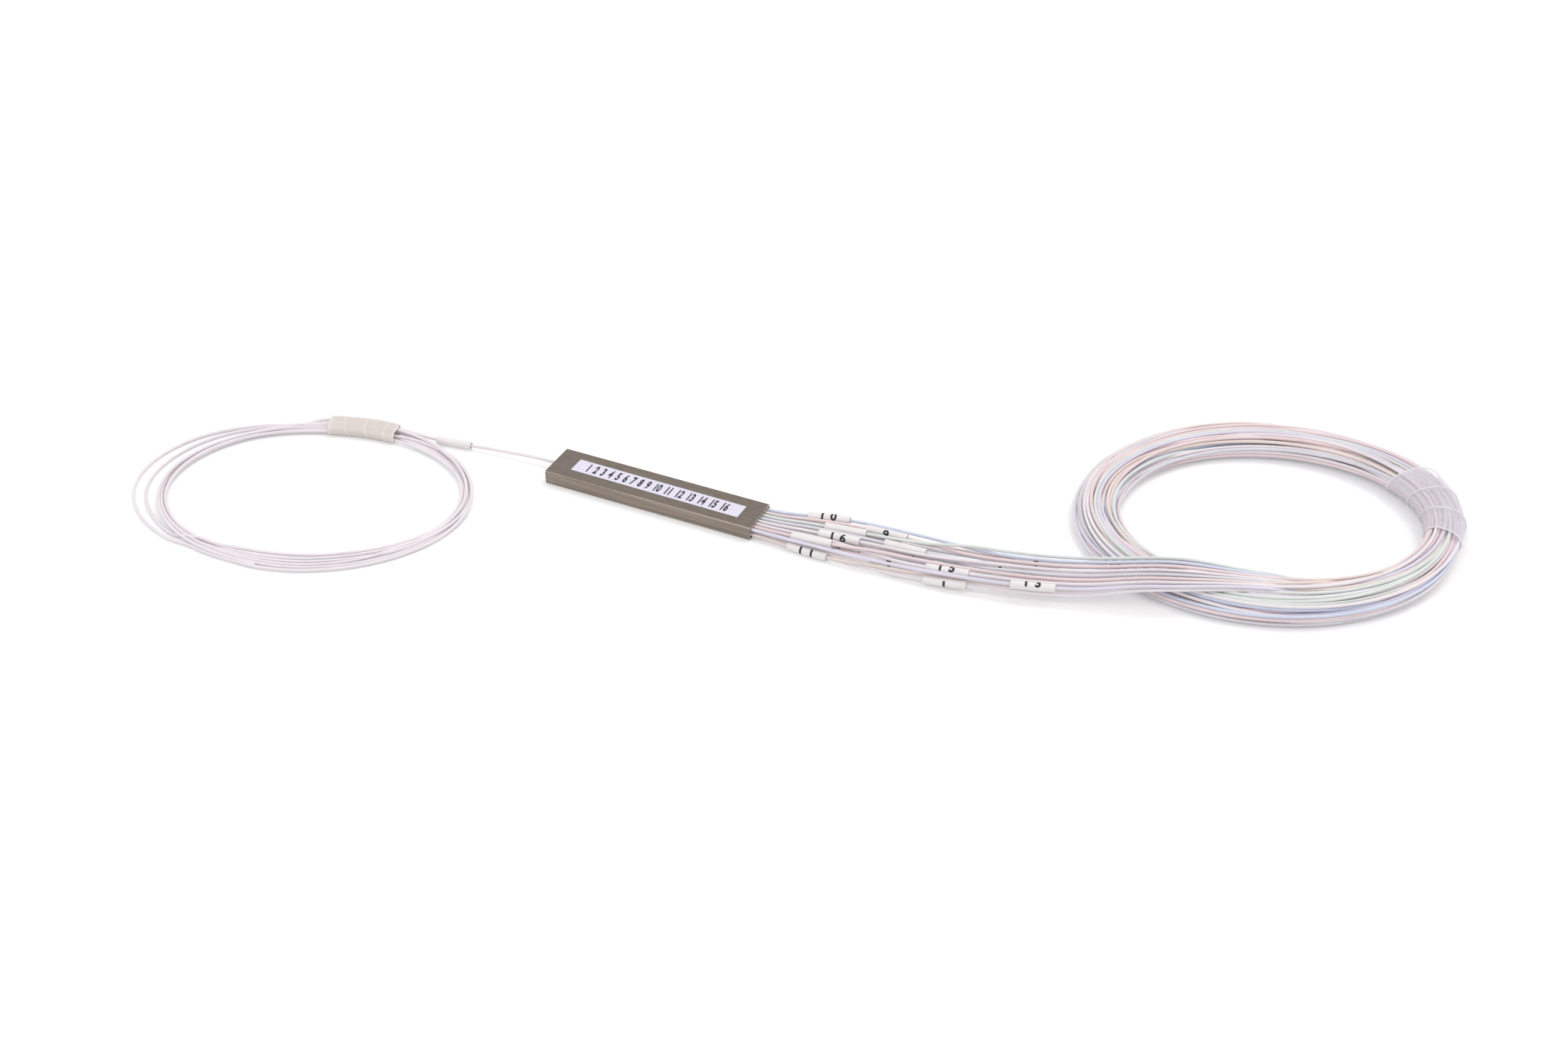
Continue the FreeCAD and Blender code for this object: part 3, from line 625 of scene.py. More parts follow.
# The bundle of each coil: its angle, how far outward its middle lies, its width,
# its height and its clearance below, in millimetres.
output_ring = Ring(
    (mouth_x + 0.1171, 0.0563),
    0.0437,
    0.0361,
    20,
    [
        (-6, 0.5, 9.4, 8.0, 0.4),
        (7, 0.8, 9.2, 8.2, 0.45),
        (18, 0.8, 9.4, 8.2, 0.5),
        (29, 0.9, 10.2, 8.2, 0.5),
        (40, 1.1, 11.5, 8.0, 0.5),
        (51, 1.3, 13.0, 7.8, 0.5),
        (64, 1.3, 13.8, 7.6, 0.4),
        (82, 0.5, 14.7, 7.0, 0.2),
        (105, -1.0, 15.8, 6.4, 0.05),
        (130, -1.5, 16.5, 6.0, 0.05),
        (155, -2.3, 14.0, 6.0, 0.05),
        (180, -1.4, 12.4, 6.4, 0.05),
        (205, -0.6, 15.5, 6.2, 0.05),
        (230, 0.5, 19.0, 6.0, 0.05),
        (255, 1.5, 19.1, 6.6, 0.05),
        (280, 1.0, 18.0, 7.4, 0.05),
        (305, 1.0, 17.6, 7.6, 0.05),
        (325, 0.4, 14.6, 7.8, 0.05),
        (341, 0.6, 11.5, 8.0, 0.2),
    ],
    0.2 * MM,
)
input_ring = Ring(
    (input_x - 0.0521, -0.0363),
    0.0405,
    0.0311,
    16.7,
    [
        (0, 0.2, 4.4, 1.8, 0.1),
        (20, 0.0, 3.8, 1.9, 0.1),
        (40, -0.3, 3.6, 2.0, 0.1),
        (53, -0.7, 4.0, 2.2, 0.15),
        (66, -0.8, 4.9, 2.3, 0.2),
        (78, -0.6, 6.3, 2.4, 0.3),
        (88, -0.5, 6.8, 2.4, 0.3),
        (97, -0.5, 6.8, 2.4, 0.3),
        (106, -0.5, 6.8, 2.4, 0.3),
        (115, -0.5, 6.8, 2.4, 0.3),
        (125, -0.4, 6.2, 2.4, 0.3),
        (137, 0.0, 4.8, 2.3, 0.2),
        (151, -0.2, 3.5, 2.2, 0.1),
        (168, -0.6, 2.8, 2.4, 0.1),
        (190, -0.3, 2.8, 2.5, 0.1),
        (210, 0.2, 2.9, 2.5, 0.1),
        (228, 0.4, 3.6, 2.2, 0.1),
        (246, 0.2, 5.6, 1.8, 0.1),
        (266, -0.1, 7.8, 1.5, 0.1),
        (288, -0.4, 9.2, 1.4, 0.1),
        (312, -0.8, 9.2, 1.4, 0.1),
        (336, -0.5, 7.0, 1.5, 0.1),
    ],
    0.1 * MM,
)

# A coil's turn has this many control points, and the wrap ties the output coil
# between these angles.
STATIONS = 36
WRAP_ENDS = (7, 51)

# In one round of settling: the share of an overlap by which each tube gives way,
# how far a loose tube sinks, the shares by which tubes go towards their lane in a
# broad or a tied bundle and, at their end, towards its middle, and the shares by
# which bends are smoothed, first and last.
GIVE_WAY = 0.4
SINK = 0.008 * MM
BROAD_LANES, TIED_LANES = 0.3, 0.2
END_PULL, END_STEPS = 0.03, 8
SMOOTHING = (0.2, 0.08)

# The ties let go over this many degrees.
TIE_RAMP = 15

# The exponent of the ovals that a wrap follows: 2 is an ellipse.
OVAL = 2.2


def wander(random, tubes, steps):
    """Slow random drifts of each tube across a unit disc, spread evenly over it."""
    index = np.arange(steps)
    drift = np.zeros((tubes, steps, 2))
    for waves in (1.3, 2.6, 3.9, 5.2):
        swing = random.normal(size=(tubes, 1, 2)) / math.sqrt(waves)
        start = random.uniform(0, 2 * math.pi, (tubes, 1, 2))
        drift += swing * np.cos(2 * math.pi * waves * index[None, :, None] / steps + start)
    radius = np.linalg.norm(drift, axis=-1)
    rank = np.argsort(np.argsort(radius.ravel())).reshape(radius.shape)
    return drift * (np.sqrt((rank + 0.5) / rank.size) / radius)[..., None]


def ovals_round(spots, counted, thick):
    """The middle and the size, at each station, of an oval that holds all the counted tubes."""
    low = np.where(counted, spots, np.inf).min(axis=1)
    high = np.where(counted, spots, -np.inf).max(axis=1)
    half = (high - low + thick) / 2
    share = (np.abs(spots - (high + low)[:, None] / 2) + 0.36 * thick) / half[:, None]
    past = (np.where(counted, share, 0) ** OVAL).sum(axis=-1).max(axis=1) ** (1 / OVAL)
    half = half * np.maximum(past, 1)[:, None]
    half = np.maximum(half, (np.roll(half, 1, axis=0) + np.roll(half, -1, axis=0)) / 2)
    return (high + low) / 2, 2 * half


def settle(ring, first, turns, arrivals, seed, rounds, flat_from=None, tied=None):
    """Winds tubes round a ring and lets them push each other apart within its sections.

    Returns each tube's control points, from station first on. The arrivals are
    the spots through which the tubes come in. Where the bundle is broader than
    flat_from, its tubes spread out evenly over its width. Where they are tied,
    they don't sink and they fill the section.
    """
    random = np.random.default_rng(seed)
    tubes, held = arrivals.shape[:2]
    thick = sizes().jacket
    ends = int(turns * STATIONS) + random.integers(-4, 5, tubes)
    layers = -(-int(ends.max()) // STATIONS)
    steps = layers * STATIONS
    alive = np.arange(steps) < ends[:, None]
    station = (first + np.arange(steps)) % STATIONS
    degrees = station * 360 / STATIONS
    middle, size = ring.section(degrees)
    room = np.maximum(size / 2 - thick / 2, 0.05 * MM)
    flatness = np.zeros(STATIONS)
    if flat_from:
        flatness = np.clip((size[:STATIONS, 0] - flat_from) / (3 * MM), 0, 1) * BROAD_LANES
    sink = np.full(steps, SINK)
    if tied:
        begin, end = tied
        held_up = np.interp(degrees, [begin - TIE_RAMP, begin, end, end + TIE_RAMP], [0, 1, 1, 0])
        sink *= 1 - held_up
        flatness = TIED_LANES * held_up[:STATIONS]
    target = wander(random, tubes, steps) * room + middle
    target[:, :held] = arrivals
    spots = target.copy()
    hold = np.zeros(steps)
    hold[:held] = np.linspace(1, 0.3, held)
    near_end = np.clip((np.arange(steps) - ends[:, None] + END_STEPS) / END_STEPS, 0, 1)
    fade = near_end[..., None] * END_PULL

    def by_station(values):
        shaped = values.reshape(tubes, layers, STATIONS, -1).transpose(2, 0, 1, 3)
        return shaped.reshape(STATIONS, tubes * layers, -1)

    there = by_station(alive)[..., 0]
    pairs = (there[:, :, None] & there[:, None])[..., None]
    last = (np.arange(tubes), ends - 1)
    for round_number in range(rounds):
        across = by_station(spots)
        apart = across[:, :, None] - across[:, None]
        gap = np.sqrt((apart**2).sum(-1, keepdims=True)) + 1e-9
        push = (apart / gap * np.clip(thick - gap, 0, None) * pairs).sum(2) * GIVE_WAY
        order = np.argsort(np.argsort(np.where(there, across[..., 0], np.inf), axis=1), axis=1)
        lane = (2 * order + 1) / there.sum(axis=1, keepdims=True) - 1
        if tied:
            lane *= 0.8 + 0.2 * lane**2
        lane = middle[:STATIONS, :1] + room[:STATIONS, :1] * lane
        push[..., 0] += flatness[:, None] * (lane - across[..., 0]) * there
        shaped = push.reshape(STATIONS, tubes, layers, 2).transpose(1, 2, 0, 3)
        spots += shaped.reshape(tubes, steps, 2)
        bend = np.zeros_like(spots)
        bend[:, 1:-1] = spots[:, 2:] + spots[:, :-2] - 2 * spots[:, 1:-1]
        bend[last] = 0
        spots += bend * SMOOTHING[round_number >= rounds * 0.7]
        spots[..., 1] -= sink
        spots += fade * (middle - spots)
        spots += hold[:, None] * (target - spots)
        share = (spots - middle) / room
        reach = np.maximum(np.linalg.norm(share, axis=-1, keepdims=True), 1)
        spots = np.where(hold[:, None] > 0.2, spots, share / reach * room + middle)
        spots[..., 1] = np.maximum(spots[..., 1], thick / 2)
    reach = ovals_round(by_station(spots), there[..., None], thick)
    ring.reach = tuple(np.roll(values, first, axis=0) for values in reach)
    return [ring.place(degrees[:end], spots[tube, :end]) for tube, end in enumerate(ends)]


def tube_curve(name, points, slot):
    """A loose tube: one open NURBS spline with these control points."""
    curve = bpy.data.curves.new(name, "CURVE")
    curve.dimensions = "3D"
    curve.bevel_depth = sizes().jacket / 2
    curve.bevel_resolution = 3
    curve.use_fill_caps = True
    curve.resolution_u = 4
    spline = curve.splines.new("NURBS")
    spline.points.add(len(points) - 1)
    for point, place in zip(spline.points, points):
        point.co = (*place, 1)
    spline.order_u = 3
    spline.use_endpoint_u = True
    return finished_piece(name, curve, slot)


def line_length(points):
    return float(np.linalg.norm(np.diff(points, axis=0), axis=1).sum())


def read_along(wanted, along, line):
    """The line's points at the wanted values of along."""
    return np.stack([np.interp(wanted, along, line[:, k]) for k in range(3)], axis=1)


def centre_line(tube):
    """Points along the tube's own spline."""
    bare = bpy.data.objects.new("bare", tube.data.copy())
    bare.data.bevel_depth = 0
    mesh = bpy.data.meshes.new_from_object(bare)
    line = point_array(mesh)
    bpy.data.meshes.remove(mesh)
    bpy.data.curves.remove(bare.data)
    return line


def stretch(line, middle, length, count):
    """Evenly spaced points on the line, over this length round the point nearest to middle."""
    along = np.concatenate([[0], np.cumsum(np.linalg.norm(np.diff(line, axis=0), axis=1))])
    fine = np.linspace(0, along[-1], 4000)
    dense = read_along(fine, along, line)
    nearest = fine[np.linalg.norm(dense - middle, axis=1).argmin()]
    wanted = np.linspace(nearest - length / 2, nearest + length / 2, count)
    return read_along(wanted, along, line)


def box_middle(node):
    lowest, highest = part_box(node)
    return (np.array(lowest) + np.array(highest)) / 2


# ------------------------------------------------------- sleeves and prints

STROKE_WEIGHT = 0.045
SLEEVE_SPACING = 1.15
PRINT_LIFT = 0.012 * MM
LABEL_PRINT_HEIGHT = 3.7 * MM
LABEL_PRINT_LENGTH = 41.5 * MM
LABEL_PRINT_LIFT = 0.01 * MM
LABEL_TURN = -0.6


def sleeve_tree():
    """Geometry nodes: a hollow sleeve swept along its axis, with both walls and open ends."""
    if "Sleeve" in bpy.data.node_groups:
        return bpy.data.node_groups["Sleeve"]
    tree, given, result = group_tree(
        "Sleeve",
        "GeometryNodeTree",
        [
            ("Axis", "NodeSocketGeometry", None),
            ("Radius", "NodeSocketFloat", 0.001),
            ("Wall", "NodeSocketFloat", 0.0003),
            ("Sides", "NodeSocketInt", 24),
            ("Finish", "NodeSocketMaterial", None),
        ],
        [("Geometry", "NodeSocketGeometry")],
    )
    axis = add_node(tree, "GeometryNodeMeshToCurve", {"Mesh": given.outputs["Axis"]})
    sockets = {"Resolution": given.outputs["Sides"], "Radius": given.outputs["Radius"]}
    circle = add_node(tree, "GeometryNodeCurvePrimitiveCircle", sockets)
    sockets = {"Curve": axis.outputs["Curve"], "Profile Curve": circle.outputs["Curve"]}
    outer = add_node(tree, "GeometryNodeCurveToMesh", sockets)
    inward = maths(tree, "MULTIPLY", given.outputs["Wall"], -1.0)
    sockets = {"Mesh": outer.outputs["Mesh"], "Offset Scale": inward, "Individual": False}
    shell = add_node(tree, "GeometryNodeExtrudeMesh", sockets, mode="FACES")
    flipped = add_node(tree, "GeometryNodeFlipFaces", {"Mesh": shell.outputs["Mesh"]})
    joined = add_node(tree, "GeometryNodeJoinGeometry")
    tree.links.new(outer.outputs["Mesh"], joined.inputs[0])
    tree.links.new(flipped.outputs["Mesh"], joined.inputs[0])
    sockets = {"Geometry": joined.outputs[0], "Distance": 0.01 * MM}
    merged = add_node(tree, "GeometryNodeMergeByDistance", sockets)
    real = add_node(tree, "GeometryNodeRealizeInstances", {"Geometry": merged.outputs[0]})
    sockets = {"Geometry": real.outputs[0], "Material": given.outputs["Finish"]}
    painted = add_node(tree, "GeometryNodeSetMaterial", sockets)
    tree.links.new(painted.outputs[0], result.inputs["Geometry"])
    return tree


def sleeve(name, line, length, node):
    """A hollow sleeve that follows its tube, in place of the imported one."""
    axis = stretch(line, box_middle(node), length, 9)
    mesh = bpy.data.meshes.new(name)
    mesh.from_pydata([tuple(p) for p in axis], [(k, k + 1) for k in range(len(axis) - 1)], [])
    piece = linked_object(name, mesh)
    modifier = piece.modifiers.new("sleeve", "NODES")
    modifier.node_group = sleeve_tree()
    values = {
        "Radius": sizes().sleeve_radius,
        "Wall": sizes().sleeve_wall,
        "Sides": 28,
        "Finish": finish("sleeve_plastic"),
    }
    for item in modifier.node_group.interface.items_tree:
        if item.in_out == "INPUT" and item.name in values:
            modifier[item.identifier] = values[item.name]
    apply_modifiers(piece)
    bevel = piece.modifiers.new("rims", "BEVEL")
    bevel.width = 0.07 * MM
    bevel.segments = 2
    bevel.limit_method = "ANGLE"
    apply_modifiers(piece)
    piece.data.polygons.foreach_set("use_smooth", [True] * len(piece.data.polygons))
    piece.data.set_sharp_from_angle(angle=math.radians(50))
    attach(piece, "root")
    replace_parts(piece, node)
    return piece, axis


def flat_text(words, height, spacing=1.0):
    """The words as a flat mesh of this digit height, centred on the origin."""
    font = bpy.data.curves.new("print", "FONT")
    font.body = words
    font.align_x = "CENTER"
    font.space_character = spacing
    font.offset = STROKE_WEIGHT
    font.resolution_u = 4
    holder = linked_object("print", font)
    mesh = evaluated_mesh(holder)
    bpy.data.objects.remove(holder)
    points = point_array(mesh)
    points[:, :2] -= (points[:, :2].min(axis=0) + points[:, :2].max(axis=0)) / 2
    points *= height / np.ptp(points[:, 1])
    mesh.vertices.foreach_set("co", points.ravel())
    return mesh


def cut_across(mesh, cuts, height):
    """Cuts a flat print into bands, so that it can bend round a sleeve."""
    shape = bmesh.new()
    shape.from_mesh(mesh)
    for step in range(1, cuts):
        level = (step / cuts - 0.5) * height
        everything = [*shape.verts, *shape.edges, *shape.faces]
        bmesh.ops.bisect_plane(shape, geom=everything, plane_co=(0, level, 0), plane_no=(0, 1, 0))
    shape.to_mesh(mesh)
    shape.free()


def sleeve_digits(name, port, axis, roll):
    """The port's number printed round its sleeve."""
    height = sizes().digit_height
    mesh = flat_text(" ".join(str(port)), height, SLEEVE_SPACING)
    cut_across(mesh, 8, height)
    flat = point_array(mesh)
    heading = axis[-1] - axis[0]
    heading /= np.linalg.norm(heading)
    front = np.cross((0, 0, 1), heading) * -1
    front /= np.linalg.norm(front)
    up = np.cross(heading, -front)
    radius = sizes().sleeve_radius + PRINT_LIFT
    angle = math.radians(roll) - flat[:, 1] / radius
    wanted = np.linspace(-0.5, 0.5, len(axis)) * sizes().sleeve_length
    middle = read_along(flat[:, 0], wanted, axis)
    bent = middle + radius * (np.cos(angle)[:, None] * up + np.sin(angle)[:, None] * front)
    mesh.vertices.foreach_set("co", bent.ravel())
    return finished_piece(name, mesh, "number_ink")


# ---------------------------------------------------------- wraps and tapes


def film_piece(name, inner, outer, seam, closed, slot, node):
    """A thin film between two grids of points; closed joins the last row to the first."""
    rows, columns = inner.shape[:2]
    count = rows * columns
    grid = np.arange(count).reshape(rows, columns)
    faces = []
    for i in range(rows if closed else rows - 1):
        for j in range(columns - 1):
            below = (i + 1) % rows
            quad = [int(k) for k in (grid[i, j], grid[below, j], grid[below, j + 1], grid[i, j + 1])]
            faces += [quad, [k + count for k in reversed(quad)]]
    if closed:
        rims = [list(grid[:, 0]), list(grid[::-1, -1])]
    else:
        rims = [[*grid[0, :], *grid[1:, -1], *grid[-1, -2::-1], *grid[-2:0:-1, 0]]]
    for rim in rims:
        for a, b in zip(rim, rim[1:] + rim[:1]):
            faces.append([int(a), int(b), int(b) + count, int(a) + count])
    points = np.concatenate([inner.reshape(-1, 3), outer.reshape(-1, 3)])
    mesh = bpy.data.meshes.new(name)
    mesh.from_pydata([tuple(p) for p in points], [], faces)
    mesh.polygons.foreach_set("use_smooth", [True] * len(mesh.polygons))
    shape = bmesh.new()
    shape.from_mesh(mesh)
    bmesh.ops.recalc_face_normals(shape, faces=shape.faces)
    shape.to_mesh(mesh)
    shape.free()
    mesh.set_sharp_from_angle(angle=math.radians(40))
    mark = mesh.attributes.new("seam", "FLOAT", "POINT")
    mark.data.foreach_set("value", np.concatenate([seam.ravel(), seam.ravel()]).astype(np.float32))
    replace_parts(finished_piece(name, mesh, slot), node)


def rounded(angle, power):
    """Across and up on an oval; a power under 1 fills its corners out."""
    cos, sin = np.cos(angle), np.sin(angle)
    return np.sign(cos) * np.abs(cos) ** power, np.sign(sin) * np.abs(sin) ** power


def spiral_band(name, ring, first, turns, pitch, width, wall, gap, slot, node):
    """A film wound round the tied bundle of a ring, each turn lapped over the one before."""
    spin = np.linspace(0, turns * 2 * math.pi, int(turns * 48))[:, None]
    share = np.array([0, 0.03, 0.04, 0.2, 0.5, 0.8, 0.96, 0.97, 1])[None, :]
    seam = np.broadcast_to(np.abs(share - 0.5) > 0.465, (len(spin), share.size))
    per_degree = ring_length(ring) / 360
    degrees = first + (pitch * (spin / (2 * math.pi) - 0.5) + width * (share - 0.5)) / per_degree
    layers = []
    for grow in (gap, gap + wall):
        lift = grow + wall * 1.1 * share
        middle, size = ring.hug(degrees)
        around = np.stack(np.broadcast_arrays(*rounded(spin, 0.91)), axis=-1)
        points = ring.place(degrees, middle + around * (size / 2 + lift[..., None]))
        points[..., 2] = np.maximum(points[..., 2], 0.05 * MM + gap + wall - grow)
        layers.append(points)
    film_piece(name, *layers, seam, False, slot, node)


def cuff(name, ring, ends, slant, pitch, wall, gap, slot, node):
    """A flat cuff of film round a bundle, wound on the slant; its first edge leans by slant."""
    around = np.linspace(0, 2 * math.pi, 56, endpoint=False)[:, None]
    share = np.linspace(0, 1, 61)[None, :]
    first = ends[0] + slant * np.cos(around)
    degrees = first + (ends[1] - first) * share
    wound = (degrees / pitch + around / (2 * math.pi)) % 1
    seam = 0.45 * np.clip(1 - np.abs(wound - 0.05) / 0.07, 0, 1)
    for to_edge in (1 - share, share):
        seam = np.maximum(seam, np.clip(1 - to_edge * 40, 0, 1))
    flat = np.stack(rounded(around, 0.65), axis=-1)
    middle, size = ring.section(degrees)
    close = 1 - 0.06 * (1 - np.sin(math.pi * share) ** 0.15)
    layers = []
    for grow in (gap, gap + wall):
        lift = grow + 0.5 * wall * (1 - wound)
        layers.append(ring.place(degrees, middle + flat * (size / 2 * close[..., None] + lift[..., None])))
    film_piece(name, *layers, seam, True, slot, node)


def ring_length(ring):
    return line_length(ring.at(np.arange(0, 361, 2))[0])


# ---------------------------------------------------------------- operators

TARGET = Vector((0.0345, 0.005, 0))
LENS = 49.8
FLOOR_HALF = 6.0
FLOOR_GLOW = 0.22


class SPLITTER_OT_stage(bpy.types.Operator):
    """Sets up the floor, the sky, the lamps and the camera"""

    bl_idname = "splitter.stage"
    bl_label = "Stage"

    def execute(self, context):
        stage = context.scene.splitter_stage
        flat = math.cos(stage.elevation)
        looking = Vector(
            (-math.sin(stage.azimuth) * flat, math.cos(stage.azimuth) * flat, -math.sin(stage.elevation))
        )
        camera = bpy.data.objects.new("camera", bpy.data.cameras.new("camera"))
        camera.data.lens = LENS
        camera.data.clip_start = 0.01
        camera.location = TARGET - looking * stage.distance
        camera.rotation_euler = looking.to_track_quat("-Z", "Y").to_euler()
        context.collection.objects.link(camera)
        context.scene.camera = camera

        mesh = bpy.data.meshes.new("floor")
        corners = [(x * FLOOR_HALF, y * FLOOR_HALF, 0) for x, y in ((-1, -1), (1, -1), (1, 1), (-1, 1))]
        mesh.from_pydata(corners, [], [(0, 1, 2, 3)])
        mesh.materials.append(floor_material())
        floor = linked_object("floor", mesh)

        sky = context.scene.world or bpy.data.worlds.new("sky")
        context.scene.world = sky
        sky.use_nodes = True
        tree = sky.node_tree
        tree.nodes.clear()
        path = tree.nodes.new("ShaderNodeLightPath")
        seen = [path.outputs[name] for name in ("Is Camera Ray", "Is Glossy Ray", "Is Transmission Ray")]
        any_seen = maths(tree, "MAXIMUM", maths(tree, "MAXIMUM", *seen[:2]), seen[2])
        sockets = {"Value": any_seen, "To Min": stage.sky, "To Max": 1.0}
        strength = add_node(tree, "ShaderNodeMapRange", sockets)
        lit = {"Color": (1, 1, 1, 1), "Strength": strength.outputs["Result"]}
        white = add_node(tree, "ShaderNodeBackground", lit)
        output = add_node(tree, "ShaderNodeOutputWorld", {"Surface": white.outputs[0]})
        output.is_active_output = True

        add_lamp("key_lamp", (-0.24, -0.36, -0.9), 30, stage.key_power)
        add_lamp("front_lamp", (0.346, 0.588, -0.731), 22, stage.front_power)
        context.scene.view_settings.view_transform = "Standard"
        return {"FINISHED"}


def floor_material():
    """White table that keeps the shadows."""
    material = new_material("floor_white", (0.88, 0.88, 0.885), 0.9)
    tree = material.node_tree
    shader = tree.nodes["Principled BSDF"]
    shader.inputs["Specular IOR Level"].default_value = 0.0
    path = tree.nodes.new("ShaderNodeLightPath")
    either = maths(tree, "MAXIMUM", path.outputs["Is Camera Ray"], path.outputs["Is Glossy Ray"])
    glow = maths(tree, "MULTIPLY", either, FLOOR_GLOW)
    shader.inputs["Emission Color"].default_value = (1, 1, 1, 1)
    tree.links.new(glow, shader.inputs["Emission Strength"])
    return material


def add_lamp(name, shines, angle, power):
    """A wide far lamp that shines this way."""
    lamp = bpy.data.lights.new(name, "SUN")
    lamp.energy = power
    lamp.angle = math.radians(angle)
    holder = linked_object(name, lamp)
    holder.rotation_euler = Vector(shines).to_track_quat("-Z", "Y").to_euler()


class SPLITTER_OT_housing(bpy.types.Operator):
    """Finishes the steel housing, its label and what shows in its ends"""

    bl_idname = "splitter.housing"
    bl_label = "Housing"

    def execute(self, context):
        dress("housing_shell", "steel")
        dress("label", "label_film")
        for end in ("input", "output"):
            dress(f"{end}_seal", "epoxy")
            dress(f"{end}_tube_holder", "holder_plastic")
        mesh = flat_text("  ".join(str(port) for port in range(1, 17)), LABEL_PRINT_HEIGHT)
        points = point_array(mesh)
        points[:, 0] *= LABEL_PRINT_LENGTH / np.ptp(points[:, 0])
        turn = math.radians(LABEL_TURN)
        spin = np.array([[math.cos(turn), math.sin(turn)], [-math.sin(turn), math.cos(turn)]])
        points[:, :2] = points[:, :2] @ spin + box_middle("label")[:2]
        points[:, 2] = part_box("label")[1][2] + LABEL_PRINT_LIFT
        mesh.vertices.foreach_set("co", points.ravel())
        finished_piece("label_numbers", mesh, "number_ink")
        return {"FINISHED"}


class SPLITTER_OT_optics(bpy.types.Operator):
    """Finishes the chip, the glass blocks and the fibres inside the housing"""

    bl_idname = "splitter.optics"
    bl_label = "Optics"

    def execute(self, context):
        dress("chip_bed", "silicone")
        dress("splitter_chip", "silicon")
        for node in ("chip_input_cover", "chip_output_cover"):
            dress(node, "block_glass")
        for side in ("input", "output"):
            dress(f"{side}_fibre_block", "block_glass")
            dress(f"{side}_fibre_lid", "block_glass")
        for node in ("input_bare_fibre", "upper_ribbon", "lower_ribbon"):
            dress(node, "coated_fibre")
        return {"FINISHED"}


class SPLITTER_OT_output_tubes(bpy.types.Operator):
    """Makes the sixteen output tubes with their coil, sleeves and numbers"""

    bl_idname = "splitter.output_tubes"
    bl_label = "Output tubes"

    def execute(self, context):
        rows = [(1, place, tube) for place, tube in enumerate(UPPER_TUBES)]
        rows += [(0, place, tube) for place, tube in enumerate(LOWER_TUBES)]
        arrivals = np.array([output_arrival(row, tube) for row, _, tube in rows])
        turns = sizes().output_turns
        coils = settle(output_ring, ARRIVAL_STATION, turns, arrivals, 16, 320, tied=WRAP_ENDS)
        for (row, place, tube), coil in zip(rows, coils):
            port, slot = tube[:2]
            route = [tuple(p) for p in output_route(row, place, tube)]
            points = route + [tuple(p) for p in coil]
            number = f"{port:02d}"
            curve = tube_curve(f"output_tube_{number}", points, slot)
            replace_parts(curve, f"output_lead_{number}", "output_coil")
            line = centre_line(curve)
            node = f"number_sleeve_{number}"
            cover, axis = sleeve(f"print_sleeve_{number}", line, sizes().sleeve_length, node)
            digits = sleeve_digits(f"sleeve_number_{number}", port, axis, ROLLS.get(port, TURNED_AWAY))
        return {"FINISHED"}


class SPLITTER_OT_input_tube(bpy.types.Operator):
    """Makes the input tube with its sleeve, its coil and its two loose turns"""

    bl_idname = "splitter.input_tube"
    bl_label = "Input tube"

    def execute(self, context):
        points = [(x, *INPUT_PLACE) for x in (input_x + TUBE_GRIP, input_x - 0.004)]
        points += [(input_x + x, y, z) for x, y, z in INPUT_TUBE]
        first = INPUT_ARRIVAL_STATION
        arrivals = np.array([INPUT_ARRIVALS])
        coil = settle(input_ring, first, sizes().input_turns, arrivals, 5, 300, flat_from=4.2 * MM)[0]
        for turn, begin in enumerate(range(0, len(coil), STATIONS)):
            lap = coil[begin : begin + STATIONS]
            angles = (first + np.arange(len(lap))) * 360 / STATIONS
            (leaves, returns), loose = LOOSE_TURNS.get(turn, ((0, -1), []))
            points += [tuple(p) for p in lap[angles < leaves]]
            points += [(input_x + x, y, sizes().jacket / 2) for x, y in loose]
            points += [tuple(p) for p in lap[angles > returns]]
        curve = tube_curve("input_tube", points, "tube_white")
        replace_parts(curve, "input_lead", "input_coil")
        line = centre_line(curve)
        cover, _ = sleeve("input_tube_sleeve", line, INPUT_SLEEVE_LENGTH, "input_sleeve")
        return {"FINISHED"}


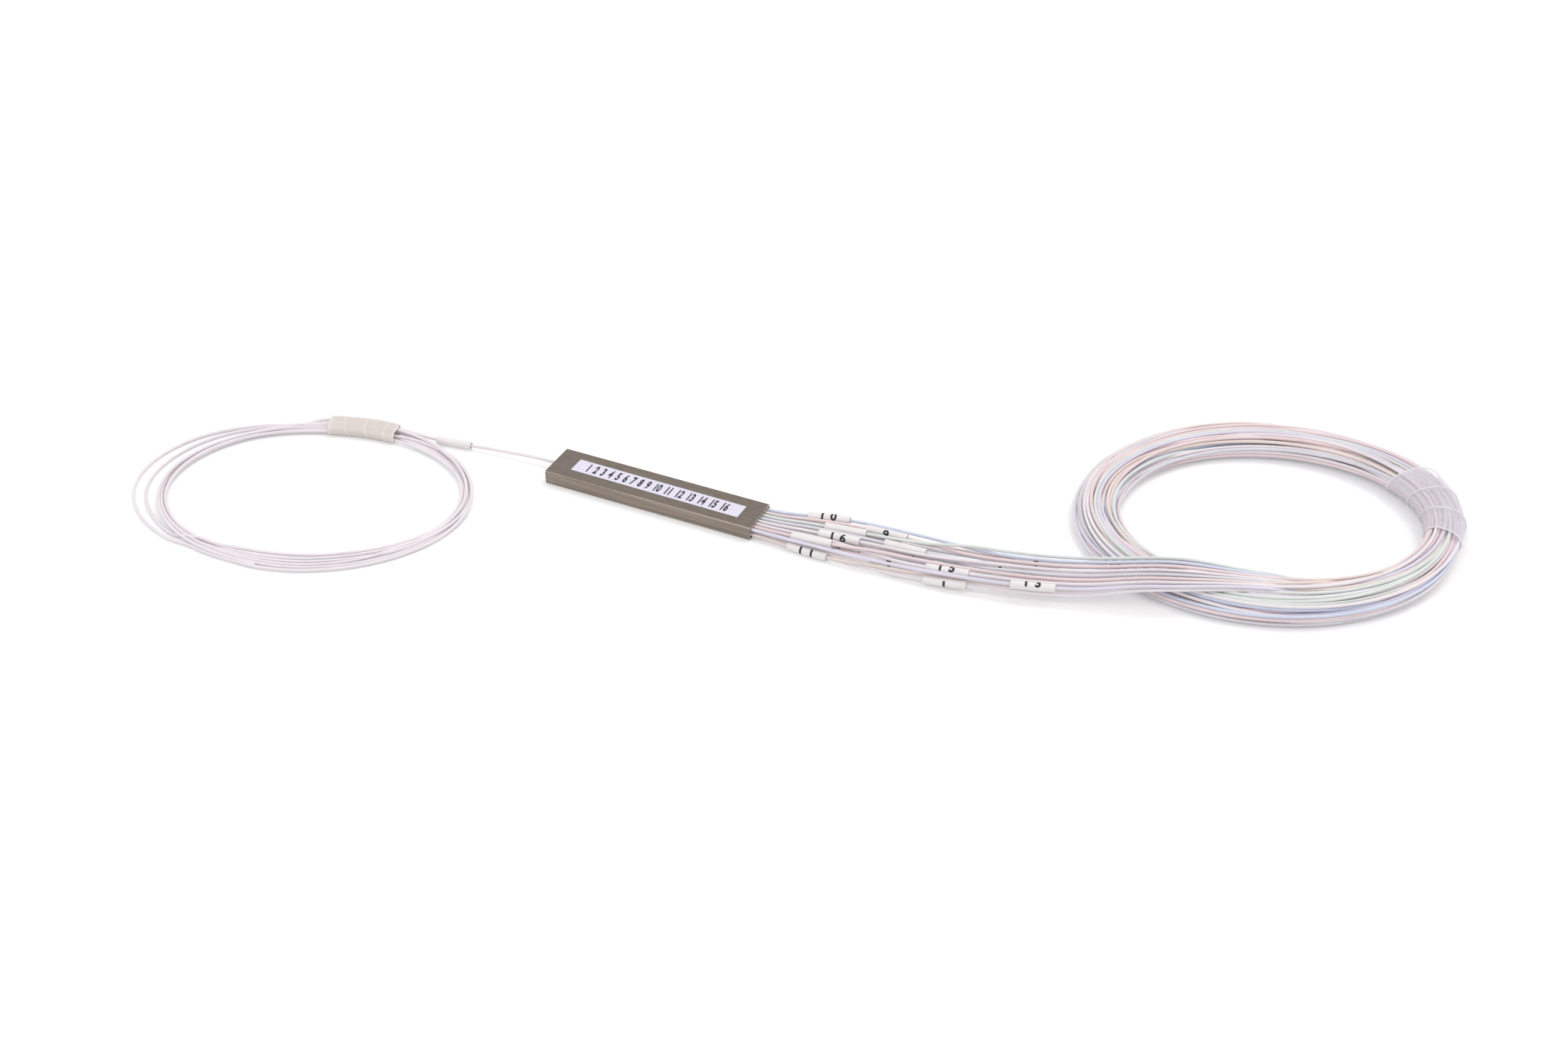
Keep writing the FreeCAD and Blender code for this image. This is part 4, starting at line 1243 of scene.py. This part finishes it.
class SPLITTER_OT_wraps(bpy.types.Operator):
    """Winds the clear wrap round the output coil and the tape round the input coil"""

    bl_idname = "splitter.wraps"
    bl_label = "Wraps"

    def execute(self, context):
        pitch = sizes().wrap_pitch
        film, gap = 0.14 * MM, 0.05 * MM
        wide = 1.06 * pitch
        nodes = "clear_wrap", "output_coil_wrap"
        spiral_band("spiral_wrap", output_ring, 17, 2.8, pitch, wide, film, gap, *nodes)
        nodes = "clear_tape", "input_coil_tape"
        cuff("coil_tape", input_ring, (87, 115), 1.4, 8.5, 0.1 * MM, gap, *nodes)
        return {"FINISHED"}


class SPLITTER_PT_panel(bpy.types.Panel):
    """The module's pieces, in the order in which they are made"""

    bl_idname = "SPLITTER_PT_panel"
    bl_label = "Fibre splitter"
    bl_space_type = "VIEW_3D"
    bl_region_type = "UI"
    bl_category = "Splitter"

    def draw(self, context):
        for operator in OPERATORS:
            self.layout.operator(operator.bl_idname)
        for group in (getattr(context.scene, name) for name in GROUPS):
            for name in group.bl_rna.properties.keys():
                if name not in ("rna_type", "name"):
                    self.layout.prop(group, name)


OPERATORS = (
    SPLITTER_OT_stage,
    SPLITTER_OT_output_tubes,
    SPLITTER_OT_input_tube,
    SPLITTER_OT_wraps,
    SPLITTER_OT_housing,
    SPLITTER_OT_optics,
)
GROUPS = {
    "splitter_sizes": SplitterSizes,
    "splitter_colours": SplitterColours,
    "splitter_stage": SplitterStage,
}


def register():
    for name, group in GROUPS.items():
        bpy.utils.register_class(group)
        setattr(bpy.types.Scene, name, bpy.props.PointerProperty(type=group))
    for item in (*OPERATORS, SPLITTER_PT_panel):
        bpy.utils.register_class(item)


def unregister():
    for item in reversed((*OPERATORS, SPLITTER_PT_panel)):
        bpy.utils.unregister_class(item)
    for name, group in reversed(GROUPS.items()):
        delattr(bpy.types.Scene, name)
        bpy.utils.unregister_class(group)


def main():
    """Makes the whole module."""
    register()
    bpy.ops.splitter.stage()
    bpy.ops.splitter.output_tubes()
    bpy.ops.splitter.input_tube()
    bpy.ops.splitter.wraps()
    bpy.ops.splitter.housing()
    bpy.ops.splitter.optics()


if __name__ == "__main__":
    main()
